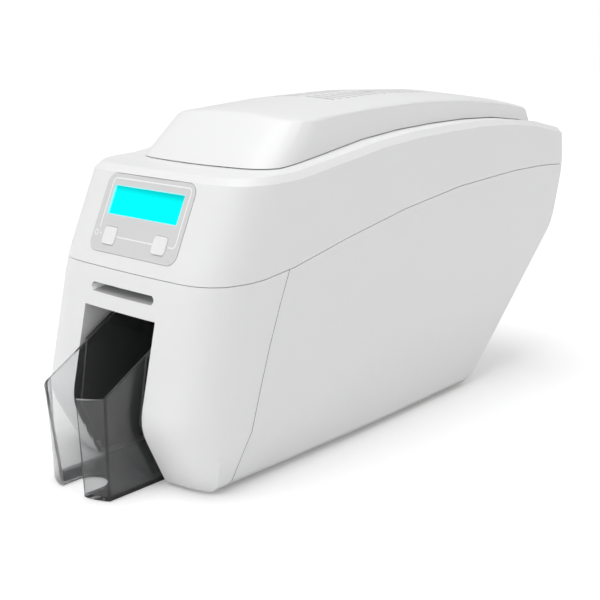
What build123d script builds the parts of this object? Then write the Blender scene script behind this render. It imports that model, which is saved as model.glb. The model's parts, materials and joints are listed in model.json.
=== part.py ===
from build123d import *
import os
from math import acos, atan2, cos, hypot, pi, sin, sqrt

os.makedirs("parts", exist_ok=True)

# Desktop plastic card printer. X runs across, Y from front to back, Z up, in millimetres.
# The pieces are drawn with y = 0 at the front corners of the card tray and z = 0 on the table,
# and are moved to the centre of the printer's footprint when they are written.

# The card that everything is built round
CARD_WIDTH = 54.0
CARD_THICK = 0.76
CARD_ROOM = 2.0

# General clearances
SEAM_GAP = 0.5
RUN_GAP = 0.05
SLIDE_GAP = 0.3
FACE_GAP = 0.1

# Flats on the small round pieces that repeat
BAR_SIDES = 10
WHEEL_SIDES = 14
ROLL_SIDES = 20
BUSH_SIDES = 8
SCREW_SIDES = 6
INNER_FLATS = 2

# Casing: overall form
BODY_HALF_W = 88.0
SKIN = 2.5
SKIN_BOTTOM = 2.5
FRONT_BOTTOM_Y = 40.0
FRONT_KNEE_Y = 21.5
FRONT_KNEE_Z = 46.6
FRONT_SEAM_Y = 43.8
FRONT_SEAM_Z = 142.0
FRONT_TOP_Y = 73.0
FRONT_TOP_Z = 206.0
FRONT_EASE = 12.0
FRONT_FLAT_X = 52.0
FRONT_BOW = 1.2
FOOT_BOW = 3.6
CORNER_SOFT = 19.0
CORNER_TURN = 10.0
CORNER_DEPTH = 42.0
REAR_BOTTOM = (352.0, SKIN_BOTTOM)
REAR_KNEE = (459.0, 131.0)
REAR_SEAM = (472.5, 182.0)
REAR_TOP = (467.0, 214.0)
REAR_FOOT_R = 12.0
REAR_EASE_R = 60.0
SHOULDER = 4.5
DECK_LINE = [(80.0, 206.5), (140.0, 210.5), (192.0, 219.0), (302.0, 227.3), (401.0, 225.0), REAR_TOP]
DECK_STEPS = 9

# Side crease and the foot of the side below it
CREASE_LINE = [(30.0, 43.0), (75.0, 43.0), (128.0, 45.0), (187.0, 57.0), (251.0, 81.0), (323.0, 108.0),
               (396.0, 122.5), (455.0, 129.5), (520.0, 136.0)]
SIDE_FOOT_LINE = [(30.0, 76.0), (75.0, 76.0), (128.0, 77.4), (187.0, 78.4), (251.0, 78.0), (323.0, 75.5),
                  (520.0, 75.0)]
SIDE_FOOT_EASE = 5.0

# Seams between the casing mouldings
MAIN_SEAM = [(-20.0, 141.0), (60.0, 141.6), (88.0, 142.6), (116.0, 146.0), (172.0, 158.0), (238.0, 170.0),
             (310.0, 179.0), (388.0, 183.2), (435.0, 183.4), (480.0, 181.0)]
FASCIA_SEAM = [(113.0, 149.0), (102.0, 123.0), (92.0, 97.0), (83.0, 70.0), (75.0, 44.0), (63.0, -2.0)]
REAR_PANEL_HALF_W = 64.0

# Bay for the card tray, and the single card slot over it
BAY_HALF_W = CARD_WIDTH / 2 + 10.0
BAY_TOP_Z = 114.9
BAY_LINING = 2.0
BAY_DEPTH_Y = 74.0
SLOT_HALF_W = CARD_WIDTH / 2 + 6.3
SLOT_HEIGHT = 6.4
SLOT_Z = 127.8
SLOT_MOUTH_HEIGHT = 2.4
SLOT_CUT = 0.32
SLOT_DEPTH = 9.0

# Display panel on the leaning face
PANEL_HALF_W = 45.0
PANEL_HEIGHT = 56.0
PANEL_R = 8.0
PANEL_MID_Z = 176.5
PANEL_THICK = 1.6
PANEL_SINK = 0.5
PANEL_LEDGE = 3.5
WINDOW_HALF_W = PANEL_HALF_W - 9.0
WINDOW_HEIGHT = 20.5
WINDOW_UP = 9.3
BUTTON_WIDTH = 13.4
BUTTON_HEIGHT = 12.6
BUTTON_R = 2.6
BUTTON_X = 26.0
BUTTON_DOWN = 16.2
BUTTON_PROUD = 0.7
BUTTON_TRAVEL = 0.5
BUTTON_FLANGE = 1.0
BUTTON_EASE = 0.4
BUTTON_STEM = 1.6
BUTTON_STEM_R = 1.8
SWITCH_HEIGHT = 3.0
LCD_THICK = 2.4
BOARD_THICK = 1.6

# Lid
LID_HALF_W = 70.0
LID_FRONT_Y = 112.0
LID_REAR_Y = 462.0
LID_BASE_Z = 213.5
LID_FRONT_LEAN = 1.02
LID_SIDE_LEAN = 0.17
LID_REAR_LEAN = 0.35
LID_FRONT_R = 30.0
LID_REAR_R = 26.0
LID_FRONT_BOW = 2.5
LID_CROWN = 6.5
LID_EDGE = 2.0
LID_FLATS = 6
CROWN_ROOM = 12.0
LID_TOP_LINE = [(90.0, 231.0), (137.0, 235.5), (187.0, 240.0), (250.0, 243.6), (310.0, 244.0), (360.0, 241.8),
                (410.0, 236.5), (450.0, 230.0), (490.0, 221.0)]
LID_GAP = 0.7
HINGE_Y = LID_REAR_Y - 10.0
LID_OPENING_HALF_W = LID_HALF_W - 8.0
LID_OPENING_FRONT_Y = LID_FRONT_Y + 12.0
LID_OPENING_REAR_Y = HINGE_Y - 24.0
LID_OPENING_R = 30.0
HINGE_Z = 217.0
HINGE_PIN_R = 2.0
HINGE_EAR_R = 5.0
HINGE_X = 34.0
HINGE_EAR_W = 6.0
HINGE_TROUGH_R = 11.5
KNUCKLE_NEAR = HINGE_EAR_W / 2 + SLIDE_GAP
KNUCKLE_FAR = KNUCKLE_NEAR + 5.0
HEAD_COLUMN_X = CARD_WIDTH / 2 - 3.0
HEAD_COLUMN_Y = 9.0
HEAD_COLUMN_R = 4.0
HEAD_COLUMN_Z = 232.0
RIB_PLACES = (190.0, 280.0, 370.0)
RIB_HALF_W = 46.0
RIB_THICK = 1.6
RIB_LOW_Z = 237.0
VENT_COLUMN_X = 17.0
VENT_LENGTH = 28.0
VENT_WIDTH = 2.4
VENT_PITCH = 9.0
VENT_COUNT = 14
VENT_FIRST_Y = 222.0

# Tray and hopper, which slide out together
TRAY_WALL = 2.0
TRAY_FLOOR_Z = 0.5
TRAY_FRONT_Z = 70.8
TRAY_BACK_Z = 105.5
TRAY_SLOPE_END_Y = 57.0
TRAY_BACK_Y = 90.0
VANE_TIP_X = 12.8
VANE_TIP_Y = -6.6
VANE_TOP_TIP_X = 16.9
VANE_TOP_TIP_Y = -12.2
VANE_TOP_Z = TRAY_FRONT_Z
VANE_BOW = 1.2
VANE_FLATS = 4
TRAY_BACK_STOP_Z = 40.0
NOTCH_R = 12.5
NOTCH_DEPTH = 14.0
HOPPER_WALL = 2.0
HOPPER_FLOOR_Z = 6.4
HOPPER_BACK_Y = TRAY_BACK_Y + 96.0
HOPPER_SIDE_BACK = 1.5
HOPPER_DIVIDER_TOP_Z = 80.0
LIFT_THICK = 3.0
LIFT_TOP_Z = 98.0
LIFT_TRAVEL = 76.0
LIFT_TAB_W = 12.0

# Chassis
BASE_THICK = 2.4
BASE_Z = 3.0
BASE_RIM = 9.0
BASE_NOTCH_BACK_Y = TRAY_BACK_Y + 2.0
FOOT_R = 9.0
FOOT_SINK = 1.0
FOOT_X = 56.0
FOOT_FRONT_Y = 80.0
FOOT_REAR_Y = 325.0
FRAME_INNER_X = CARD_WIDTH / 2 + 14.0
FRAME_THICK = 1.5
SHAFT_R = 3.0
BUSH_R = 4.5
BUSH_PROUD = 1.2
SHAFT_STUB = 1.5
FRAME_FLANGE = 10.0
FRAME_VALLEY = 30.0
FRAME_WINDOW = 44.0
FRAME_WINDOW_CUT = 6.0
FRAME_WINDOWS = [(140.0, 54.0), (308.0, 72.0)]
TIE_PLACES = [(205.0, 40.0), (330.0, 40.0), (350.0, 150.0), (135.0, 152.0)]
SCREW_R = 1.5
SCREW_HEAD_R = 2.8
SCREW_HEAD = 1.8
BASE_SCREW_Y = (120.0, 300.0)

# Card path and rollers
PATH_Z = 128.6
ROLLER_R = 8.0
ROLLER_HALF_W = CARD_WIDTH / 2
NIP_GAP = 0.4
PINCH_R = 6.0
PINCH_SHAFT_R = 2.0
FEED_Y = 100.0
TRANSPORT_Y = 190.0
PLATEN_Y = 235.0
EXIT_Y = 300.0
PICK_R = 12.0
PICK_HALF_W = 14.0
GUIDE_FRONT_Y = 112.0
GUIDE_REAR_Y = 345.0
GUIDE_THICK = 1.2
GUIDE_DROP = 0.8
GUIDE_WINDOW = 11.0
GUIDE_TAB = 12.0
GUIDE_TAB_Y = (146.0, 268.0, 328.0)
RAIL_ROOM = 0.6
RAIL_THICK = 1.4
RAIL_TOP_Z = 131.0
FLAP_FRONT_Y = 52.0
FLAP_PIVOT_Y = 88.0
FLAP_PIVOT_Z = 124.0
FLAP_PIN_R = 1.5

# Drive
PULLEY_R = 7.0
PULLEY_INNER_X = FRAME_INNER_X + FRAME_THICK + 1.5
PULLEY_FLANGE = 0.8
PULLEY_FLANGE_R = 9.2
BELT_ROOM = 0.4
BELT_WIDTH = 6.0
BELT_THICK = 1.2
GEAR_MODULE = 1.2
GEAR_WIDTH = 5.0
PLATEN_TEETH = 40
PINION_TEETH = 10
SPOOL_TEETH = 20
PICK_TEETH = 21
SPUR_WIDTH = 4.5
GEAR_INNER_X = PULLEY_INNER_X + 9.5
MOTOR_SIDE = 35.0
MOTOR_LENGTH = 27.0
MOTOR_PILOT_R = 11.0
MOTOR_SHAFT_R = 2.5
RIBBON_MOTOR_R = 12.0

# Ribbon cassette
SUPPLY_Y = 300.0
SUPPLY_Z = 186.0
TAKEUP_Y = 160.0
TAKEUP_Z = 186.0
SUPPLY_ROLL_R = 20.0
TAKEUP_ROLL_R = 11.0
CORE_R = 7.0
SPOOL_HALF_W = CARD_WIDTH / 2 + 2.0
SPOOL_FLANGE = 1.2
CASSETTE_ROOM = 2.3
JOURNAL_R = 4.0
CASSETTE_X = SPOOL_HALF_W + SPOOL_FLANGE + CASSETTE_ROOM
CASSETTE_THICK = 2.0
TAKEUP_BOSS_R = 9.0
SUPPLY_BOSS_R = 12.0
GUIDE_BAR_R = 2.5
GUIDE_BAR_SPAN = 25.0
GUIDE_BAR_Z = 151.0
BAR_SLOT_DEPTH = 30.0
FILM_THICK = 0.25
FILM_HALF_W = ROLLER_HALF_W + 0.5
HEAD_HEIGHT = 10.0
HEAD_HALF = 6.0
HEAD_HALF_W = FILM_HALF_W + 2.5
HEATSINK_HALF = 10.0
HEATSINK_HEIGHT = 25.0
FIN_THICK = 1.4
FIN_COUNT = 6
BRACKET_HALF = 14.0

# Boards
STANDOFF_LENGTH = 15.5
STANDOFF_R = 3.0
BOARD_FRONT_Y = 130.0
BOARD_REAR_Y = 300.0
BOARD_LOW_Z = 20.0
BOARD_HIGH_Z = 94.0
BOARD_STRIP = 24.0
CHIPS = [(170.0, 60.0, 20.0, 20.0, 2.2), (215.0, 62.0, 14.0, 14.0, 2.0), (170.0, 84.0, 26.0, 8.0, 6.0),
         (240.0, 84.0, 34.0, 8.0, 6.0), (250.0, 40.0, 12.0, 16.0, 8.0)]

CAPACITOR_R = 5.0
CAPACITOR_TALL = 12.0

# Rear fittings
REAR_MID_Y = 405.5
FAN_SIDE = 40.0
FAN_DEPTH = 10.0
FAN_HUB_R = 9.0
FAN_BORE_R = 18.5
FAN_PIN_R = 1.5
FAN_PITCH = 38.0
FAN_CHORD = 6.0
FAN_BLADES = 7
FAN_X = 26.0
FAN_UP = 14.0
FAN_SLOTS = 6
FAN_SLOT_PITCH = 5.6
FAN_SLOT_WIDTH = 2.6
POWER_PLACE = (10.0 - FRAME_INNER_X, -42.0, 12.0, 12.0)
USB_PLACE = (-8.0, -42.0, 12.0, 11.0)
NETWORK_PLACE = (16.0, -42.0, 16.0, 14.0)
SWITCH_PLACE = (-34.0, 14.0, 14.0, 22.0)
SOCKET_PROUD = 0.4
SOCKET_DEPTH = 14.0
SWITCH_RIM = 1.2
SWITCH_WALL = 1.6
ROCKER_W = 10.4
ROCKER_HALF_H = 8.3
ROCKER_PIVOT = 2.0
ROCKER_PIN_R = 1.2


# Helpers

def blended(knots, soft, z):
    """Straight runs through the knots, with each inner corner eased by a parabola."""
    for (za, ya), (zb, yb), (zc, yc) in zip(knots, knots[1:], knots[2:]):
        if abs(z - zb) < soft:
            before = (yb - ya) / (zb - za)
            after = (yc - yb) / (zc - zb)
            return yb + before * (z - zb) + (after - before) * (z - zb + soft) ** 2 / (4 * soft)
    for (za, ya), (zb, yb) in zip(knots, knots[1:]):
        if z <= zb or (zb, yb) == knots[-1]:
            return ya + (yb - ya) * (z - za) / (zb - za)


def sampled(points, count):
    """A smooth curve through the points, as a run of equal steps along it."""
    curve = Spline(*points)
    steps = [curve @ (k / count) for k in range(count + 1)]
    return [(p.X, p.Y) for p in steps]


def read_line(points, at):
    """The height of a polyline at a place along it."""
    for (a, u), (b, v) in zip(points, points[1:]):
        if at <= b or (b, v) == points[-1]:
            return u + (v - u) * (at - a) / (b - a)


def side_prism(face, x0, x1):
    """A face drawn as (y, z), extruded across the printer."""
    return extrude(Plane.YZ.offset(x0) * face, amount=x1 - x0)


def front_prism(face, y0, y1):
    """A face drawn as (x, z), extruded from front to back."""
    return extrude(Plane(origin=(0, y0, 0), x_dir=(1, 0, 0), z_dir=(0, -1, 0)) * face, amount=y0 - y1)


def plan_prism(face, z0, z1):
    """A face drawn as (x, y), extruded upwards."""
    return extrude(Pos(0, 0, z0) * face, amount=z1 - z0)


def block(x0, x1, y0, y1, z0, z1):
    """A plain rectangular solid between two corners."""
    return Pos((x0 + x1) / 2, (y0 + y1) / 2, (z0 + z1) / 2) * Box(x1 - x0, y1 - y0, z1 - z0)


def corner(points, flats):
    """A soft corner of an outline, drawn with a few flats."""
    curve = Bezier(*points)
    steps = [curve @ (k / flats) for k in range(flats + 1)]
    return Polyline(*[(step.X, step.Y) for step in steps])


def rod(r, x0, x1, y, z):
    """A round bar across the printer."""
    at = Plane(origin=(x0, y, z), x_dir=(0, 1, 0), z_dir=(1, 0, 0))
    return at * Cylinder(r, x1 - x0, align=(Align.CENTER, Align.CENTER, Align.MIN))


def bar(r, x0, x1, y, z, sides=BAR_SIDES):
    """A small round bar across the printer, drawn with a few flats inside its circle."""
    return side_prism(Pos(y, z) * RegularPolygon(r, sides), x0, x1)


def hole(r, sides=BAR_SIDES):
    """A small round hole, drawn with a few flats outside its circle."""
    return RegularPolygon(r, sides, major_radius=False)


def clipped_rectangle(width, height, cut):
    """A rectangle with its corners cut off."""
    face = Rectangle(width, height)
    return chamfer(face.vertices(), cut)


def both_sides(solid):
    """The solid and its mirror image across the middle of the printer."""
    return solid + mirror(solid, about=Plane.YZ)


PIECES = {}


def keep(name, *shapes):
    """Holds the solids of a finished piece until all of them are written."""
    PIECES[name] = [solid for shape in shapes for solid in shape.solids()]


# Outer form of the casing

FRONT_KNOTS = [(SKIN_BOTTOM, FRONT_BOTTOM_Y), (FRONT_KNEE_Z, FRONT_KNEE_Y), (FRONT_SEAM_Z, FRONT_SEAM_Y),
               (FRONT_TOP_Z, FRONT_TOP_Y)]
BODY_REACH_Y = REAR_SEAM[0] + 30.0
FORM_LOW_Z = SKIN_BOTTOM - 10.0
FORM_HIGH_Z = FRONT_TOP_Z + 34.0


def front_y(z):
    return blended(FRONT_KNOTS, FRONT_EASE, z)


def front_bow(z):
    return FRONT_BOW + max(0.0, FRONT_KNEE_Z - z) / FRONT_KNEE_Z * FOOT_BOW


def casing_section(z, inset):
    """Outline of the casing at one height: bowed front, soft corners, straight sides."""
    bow = front_bow(z)
    y = front_y(z) + inset * 1.05
    half = BODY_HALF_W - inset
    start = (FRONT_FLAT_X, y + bow)
    soft = (FRONT_FLAT_X + CORNER_SOFT, start[1] + CORNER_SOFT * 2 * bow / FRONT_FLAT_X)
    turn = (half, start[1] + CORNER_TURN)
    end = (half, start[1] + CORNER_DEPTH)

    def left(p):
        return (-p[0], p[1])

    edges = [Bezier(left(start), (0, y - bow), start),
             corner([start, soft, turn, end], INNER_FLATS) if inset > 0.0 else Bezier(start, soft, turn, end),
             Line(end, (half, BODY_REACH_Y)),
             Line((half, BODY_REACH_Y), (-half, BODY_REACH_Y)),
             Line((-half, BODY_REACH_Y), left(end)),
             corner([left(end), left(turn), left(soft), left(start)], INNER_FLATS) if inset > 0.0
             else Bezier(left(end), left(turn), left(soft), left(start))]
    return Pos(0, 0, z) * make_face(edges)


def casing_levels(steps):
    """Heights of the sections, close together where the front turns."""
    heights = [FORM_LOW_Z]
    for knot in (FRONT_KNEE_Z, FRONT_SEAM_Z):
        heights += [knot - FRONT_EASE + 2 * FRONT_EASE * k / steps for k in range(steps + 1)]
    return heights + [FORM_HIGH_Z]


def eased_corner(face, corner, radius):
    """Rounds the one corner of a face that lies nearest to a point."""
    nearest = sorted(face.vertices(), key=lambda v: hypot(v.X - corner[0], v.Y - corner[1]))[0]
    return fillet(nearest, radius)


def casing_profile(inset, low_z):
    """Side view of the casing, behind the front: floor line, sloping rear and arched deck."""
    slope = (REAR_KNEE[0] - REAR_BOTTOM[0]) / (REAR_KNEE[1] - REAR_BOTTOM[1])
    rear_low = (REAR_BOTTOM[0] + (low_z - REAR_BOTTOM[1]) * slope, low_z)
    deck = sampled(DECK_LINE, DECK_STEPS)
    front_top = (0.0, DECK_LINE[0][1] - 3.0)
    edges = Polyline((0.0, low_z), rear_low, REAR_KNEE, REAR_SEAM, *reversed(deck), front_top, close=True)
    face = make_face(edges)
    face = eased_corner(face, REAR_KNEE, REAR_EASE_R)
    face = eased_corner(face, REAR_SEAM, REAR_EASE_R)
    if low_z == SKIN_BOTTOM:
        face = eased_corner(face, rear_low, REAR_FOOT_R)
    if inset:
        face = offset(face, amount=-inset, kind=Kind.INTERSECTION)
    return face


def side_taper(inset, steps, foot_ease):
    """What is cut from the right side below the crease, where it leans in to its foot."""
    sections = []
    for y, crease_z in sampled(CREASE_LINE, steps):
        foot_x = read_line(SIDE_FOOT_LINE, y) - inset
        lean = (BODY_HALF_W - inset - foot_x) / (crease_z - SKIN_BOTTOM)
        over = (BODY_HALF_W - inset + lean * 6.0, crease_z + 6.0)
        out_x = BODY_HALF_W + 26.0
        low_z = SKIN_BOTTOM - 12.0
        if foot_ease:
            heel = (foot_x + lean * foot_ease, SKIN_BOTTOM + foot_ease)
            toe = (heel[0] - (foot_ease + 12.0) * 0.9, low_z)
        else:
            heel = (foot_x, SKIN_BOTTOM)
            toe = (foot_x - lean * 12.0, low_z)
        outline = Polyline(over, (out_x, over[1]), (out_x, low_z), toe, heel, close=True)
        sections.append(Plane(origin=(0, y, 0), x_dir=(1, 0, 0), z_dir=(0, -1, 0)) * make_face(outline))
    return loft(sections, ruled=True)


def casing_form(inset):
    """The casing as one solid, drawn in by an inset all round. Only the outer one has eased edges."""
    outer = inset == 0.0
    steps = 4 if outer else 2
    low_z = SKIN_BOTTOM if outer else FORM_LOW_Z
    form = loft([casing_section(z, inset) for z in casing_levels(steps)], ruled=True)
    form = form & side_prism(casing_profile(inset, low_z), -BODY_HALF_W * 1.2, BODY_HALF_W * 1.2)
    taper = side_taper(inset, 14 if outer else 6, SIDE_FOOT_EASE if outer else 0.0)
    form = form - taper - mirror(taper, about=Plane.YZ)
    if not outer:
        return form
    rim = []
    for edge in form.edges():
        box = edge.bounding_box()
        across = edge.geom_type == GeomType.LINE and box.size.X > 2 * FRONT_FLAT_X * 0.5
        if box.min.Z > FRONT_TOP_Z - 4.0 and not across:
            rim.append(edge)
    return chamfer(rim, SHOULDER)


OUTER = casing_form(0.0)
INNER = casing_form(SKIN)


# Seams that part the casing into its mouldings

def above_seam(shift):
    line = [(y, z + shift) for y, z in MAIN_SEAM]
    top_z = FORM_HIGH_Z + 40.0
    face = make_face(Polyline(*line, (line[-1][0] + 40, line[-1][1]), (line[-1][0] + 40, top_z),
                              (line[0][0], top_z),
                              close=True))
    return side_prism(face, -BODY_HALF_W * 1.3, BODY_HALF_W * 1.3)


def before_fascia_seam(shift):
    line = [(y + shift, z) for y, z in FASCIA_SEAM]
    front = -40.0
    face = make_face(Polyline(*line, (front, line[-1][1]), (front, line[0][1]), close=True))
    return side_prism(face, -BODY_HALF_W * 1.3, BODY_HALF_W * 1.3)


HALF_SEAM = SEAM_GAP / 2
WHOLE = block(-BODY_HALF_W * 1.3, BODY_HALF_W * 1.3, -40, BODY_REACH_Y, FORM_LOW_Z - 6, FORM_HIGH_Z + 40)
LOWER_SKIN = (OUTER - INNER) - above_seam(-HALF_SEAM)
FASCIA_SIDE = before_fascia_seam(-HALF_SEAM)
BEHIND_FASCIA = WHOLE - before_fascia_seam(HALF_SEAM)


# Display panel plane: local x across, local y up the leaning face, local z out of it

FACE_LEAN = (FRONT_TOP_Y - FRONT_SEAM_Y) / (FRONT_TOP_Z - FRONT_SEAM_Z)
PANEL_PLANE = Plane(origin=(0, front_y(PANEL_MID_Z), PANEL_MID_Z), x_dir=(1, 0, 0), z_dir=(0, -1, FACE_LEAN))
PANEL_FACE = -PANEL_SINK
PANEL_BACK = PANEL_FACE - PANEL_THICK


def on_panel(sketch, out, inwards):
    """Extrudes a sketch on the display panel's plane, from one depth inwards to another."""
    return extrude(PANEL_PLANE * (Pos(0, 0, out) * sketch), amount=inwards - out)


def soft_rectangle(width, height, radius, x=0.0, y=0.0):
    return Pos(x, y) * RectangleRounded(width, height, radius)


# Upper cover

def deck_raised(lift):
    """Everything above the arched deck, raised by a small amount."""
    deck = [(y, z + lift) for y, z in sampled(DECK_LINE, DECK_STEPS)]
    last = (deck[-1][0] + 60, deck[-1][1] - 8)
    face = make_face(Polyline((20, deck[0][1] - 4), *deck, last, (last[0], 330), (20, 330), close=True))
    return side_prism(face, -BODY_HALF_W, BODY_HALF_W)


LID_LOW_Z = 196.0
LID_HIGH_Z = 262.0
LID_REACH = LID_REAR_Y - LID_FRONT_Y + CROWN_ROOM
CROWN_R = (LID_HALF_W ** 2 + LID_CROWN ** 2) / (2 * LID_CROWN)


def lid_section(z, inset):
    """Outline of the lid at one height."""
    flats = INNER_FLATS if inset > 0.0 else LID_FLATS
    up = z - LID_BASE_Z
    front = LID_FRONT_Y + up * LID_FRONT_LEAN + inset * 1.4
    rear = LID_REAR_Y - up * LID_REAR_LEAN - inset * 1.06
    half = LID_HALF_W - up * LID_SIDE_LEAN - inset
    fr = LID_FRONT_R - inset
    rr = LID_REAR_R - inset
    fx = half - fr
    rx = half - rr
    right = [((fx, front + LID_FRONT_BOW), (fx + fr * 0.6, front + LID_FRONT_BOW + 1.2),
              (half, front + fr * 0.35),
              (half, front + fr + LID_FRONT_BOW)),
             ((half, rear - rr), (half, rear - rr * 0.4), (rx + rr * 0.6, rear), (rx, rear))]

    def left(points):
        return [(-x, y) for x, y in reversed(points)]

    edges = [Bezier((-fx, front + LID_FRONT_BOW), (0, front - LID_FRONT_BOW), (fx, front + LID_FRONT_BOW)),
             corner(right[0], flats),
             Line(right[0][-1], right[1][0]),
             corner(right[1], flats),
             Line((rx, rear), (-rx, rear)),
             corner(left(right[1]), flats),
             Line(left(right[1])[-1], left(right[0])[0]),
             corner(left(right[0]), flats)]
    return Pos(0, 0, z) * make_face(edges)


def lid_form(inset, steps, across):
    """The lid's body: leaning walls, cut from above by a run of arched sheets from front to back.

    Each sheet is a true cylinder, or a prism with a few flats where it is hidden.
    """
    form = loft([lid_section(LID_LOW_Z, inset), lid_section(LID_HIGH_Z, inset)], ruled=True)
    line = sampled(LID_TOP_LINE, steps)
    for (y0, z0), (y1, z1) in zip(line, line[1:]):
        along = Vector(0, y1 - y0, z1 - z0).normalized()
        up = Vector(0, -along.Z, along.Y)
        top = Vector(0, (y0 + y1) / 2, (z0 + z1) / 2 + LID_CROWN)
        sheet = Plane(origin=top - up * CROWN_R, x_dir=(1, 0, 0), z_dir=-along)
        if across:
            wide = LID_HALF_W + CROWN_ROOM
            arch = [(-wide + 2 * wide * k / across, CROWN_R - inset) for k in range(across + 1)]
            arch = [(x, sqrt(r ** 2 - x ** 2)) for x, r in arch]
            body = make_face(Polyline(*arch, (wide, CROWN_R / 2), (-wide, CROWN_R / 2), close=True))
            form = form & extrude(sheet * body, amount=LID_REACH, both=True)
        else:
            form = form & (sheet * Cylinder(CROWN_R, 2 * LID_REACH))
    return form


HINGE_TROUGH = rod(HINGE_TROUGH_R, -LID_HALF_W - 6, LID_HALF_W + 6, HINGE_Y, HINGE_Z)
LID_FOOTPRINT = plan_prism(lid_section(LID_BASE_Z, -SLIDE_GAP * 4).face(), LID_LOW_Z - LID_BASE_Z, 60)


def upper_cover():
    """One moulding: the leaning face with the display pocket, the shoulders and the deck round the lid."""
    cover = (OUTER - INNER) & above_seam(HALF_SEAM)
    opening = plan_prism(
        Pos(0, (LID_OPENING_FRONT_Y + LID_OPENING_REAR_Y) / 2)
        * RectangleRounded(2 * LID_OPENING_HALF_W, LID_OPENING_REAR_Y - LID_OPENING_FRONT_Y, LID_OPENING_R),
        FRONT_TOP_Z - 16, FORM_HIGH_Z)
    cover = cover - opening
    trough_wall = rod(HINGE_TROUGH_R + SKIN, -LID_HALF_W - 6, LID_HALF_W + 6, HINGE_Y, HINGE_Z)
    cover = cover + (trough_wall & OUTER)
    cover = cover - (HINGE_TROUGH & LID_FOOTPRINT)
    for x in (-HINGE_X, HINGE_X):
        ear = bar(HINGE_EAR_R, x - HINGE_EAR_W / 2, x + HINGE_EAR_W / 2, HINGE_Y, HINGE_Z)
        ear = ear + block(x - HINGE_EAR_W / 2, x + HINGE_EAR_W / 2, HINGE_Y - HINGE_EAR_R, HINGE_Y,
                          HINGE_Z - HINGE_TROUGH_R - SKIN / 2, HINGE_Z)
        cover = cover + ear
    cover = cover - rod(HINGE_PIN_R, -HINGE_X - HINGE_EAR_W, -HINGE_X + HINGE_EAR_W, HINGE_Y, HINGE_Z)
    cover = cover - rod(HINGE_PIN_R, HINGE_X - HINGE_EAR_W, HINGE_X + HINGE_EAR_W, HINGE_Y, HINGE_Z)
    surround = on_panel(soft_rectangle(2 * PANEL_HALF_W + 8, PANEL_HEIGHT + 8, PANEL_R + 2), -1.0,
                        PANEL_BACK - 2.0)
    cover = cover + (surround & OUTER)
    pocket = soft_rectangle(2 * PANEL_HALF_W + 2 * SLIDE_GAP, PANEL_HEIGHT + 2 * SLIDE_GAP,
                            PANEL_R + SLIDE_GAP)
    cover = cover - on_panel(pocket, 6.0, PANEL_BACK)
    through = soft_rectangle(2 * (PANEL_HALF_W - PANEL_LEDGE), PANEL_HEIGHT - 2 * PANEL_LEDGE, PANEL_R - 2)
    return cover - on_panel(through, 6.0, PANEL_BACK - 6.0)


keep("upper_cover", upper_cover())


# Lid: one crowned moulding with cooling slots, ribs, screw columns for the head bracket, and hinge knuckles

def lid_hood():
    form = lid_form(0.0, 6, 0)
    rim = [e for e in form.edges()
           if e.bounding_box().min.Z > LID_BASE_Z + 8 and e.bounding_box().size.X < 110]
    form = chamfer(rim, LID_EDGE)
    hood = (form & deck_raised(LID_GAP)) - lid_form(SKIN, 4, 5)
    inside = lid_form(SKIN / 2, 4, 5)
    for y in RIB_PLACES:
        rib = block(-RIB_HALF_W, RIB_HALF_W, y, y + RIB_THICK, RIB_LOW_Z, LID_HIGH_Z)
        hood = hood + (rib & inside)
    for x in (-HEAD_COLUMN_X, HEAD_COLUMN_X):
        for y in (PLATEN_Y - HEAD_COLUMN_Y, PLATEN_Y + HEAD_COLUMN_Y):
            column = plan_prism(Pos(x, y) * RegularPolygon(HEAD_COLUMN_R, BAR_SIDES), HEAD_COLUMN_Z,
                                LID_HIGH_Z)
            hood = hood + (column & inside)
    for side in (-1, 1):
        for near, far in ((-KNUCKLE_FAR, -KNUCKLE_NEAR), (KNUCKLE_NEAR, KNUCKLE_FAR)):
            x0 = side * HINGE_X + near
            x1 = side * HINGE_X + far
            knuckle = bar(HINGE_EAR_R - 0.4, x0, x1, HINGE_Y, HINGE_Z)
            web = block(x0, x1, HINGE_Y - HINGE_EAR_R + 0.4, HINGE_Y + HINGE_EAR_R - 0.4, HINGE_Z, LID_HIGH_Z)
            hood = hood + knuckle + (web & inside)
        bore = rod(HINGE_PIN_R + RUN_GAP, side * HINGE_X - KNUCKLE_FAR, side * HINGE_X + KNUCKLE_FAR, HINGE_Y,
                   HINGE_Z)
        hood = hood - bore
    for x in (-VENT_COLUMN_X, VENT_COLUMN_X):
        for k in range(VENT_COUNT):
            y = VENT_FIRST_Y + k * VENT_PITCH
            slot = plan_prism(Pos(x, y) * Rectangle(VENT_LENGTH, VENT_WIDTH), 233.0, LID_HIGH_Z)
            hood = hood - slot
    return hood


keep("lid_hood", lid_hood())


# Front fascia: one moulding with the bay mouth, the card slot and the lining of the bay

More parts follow.
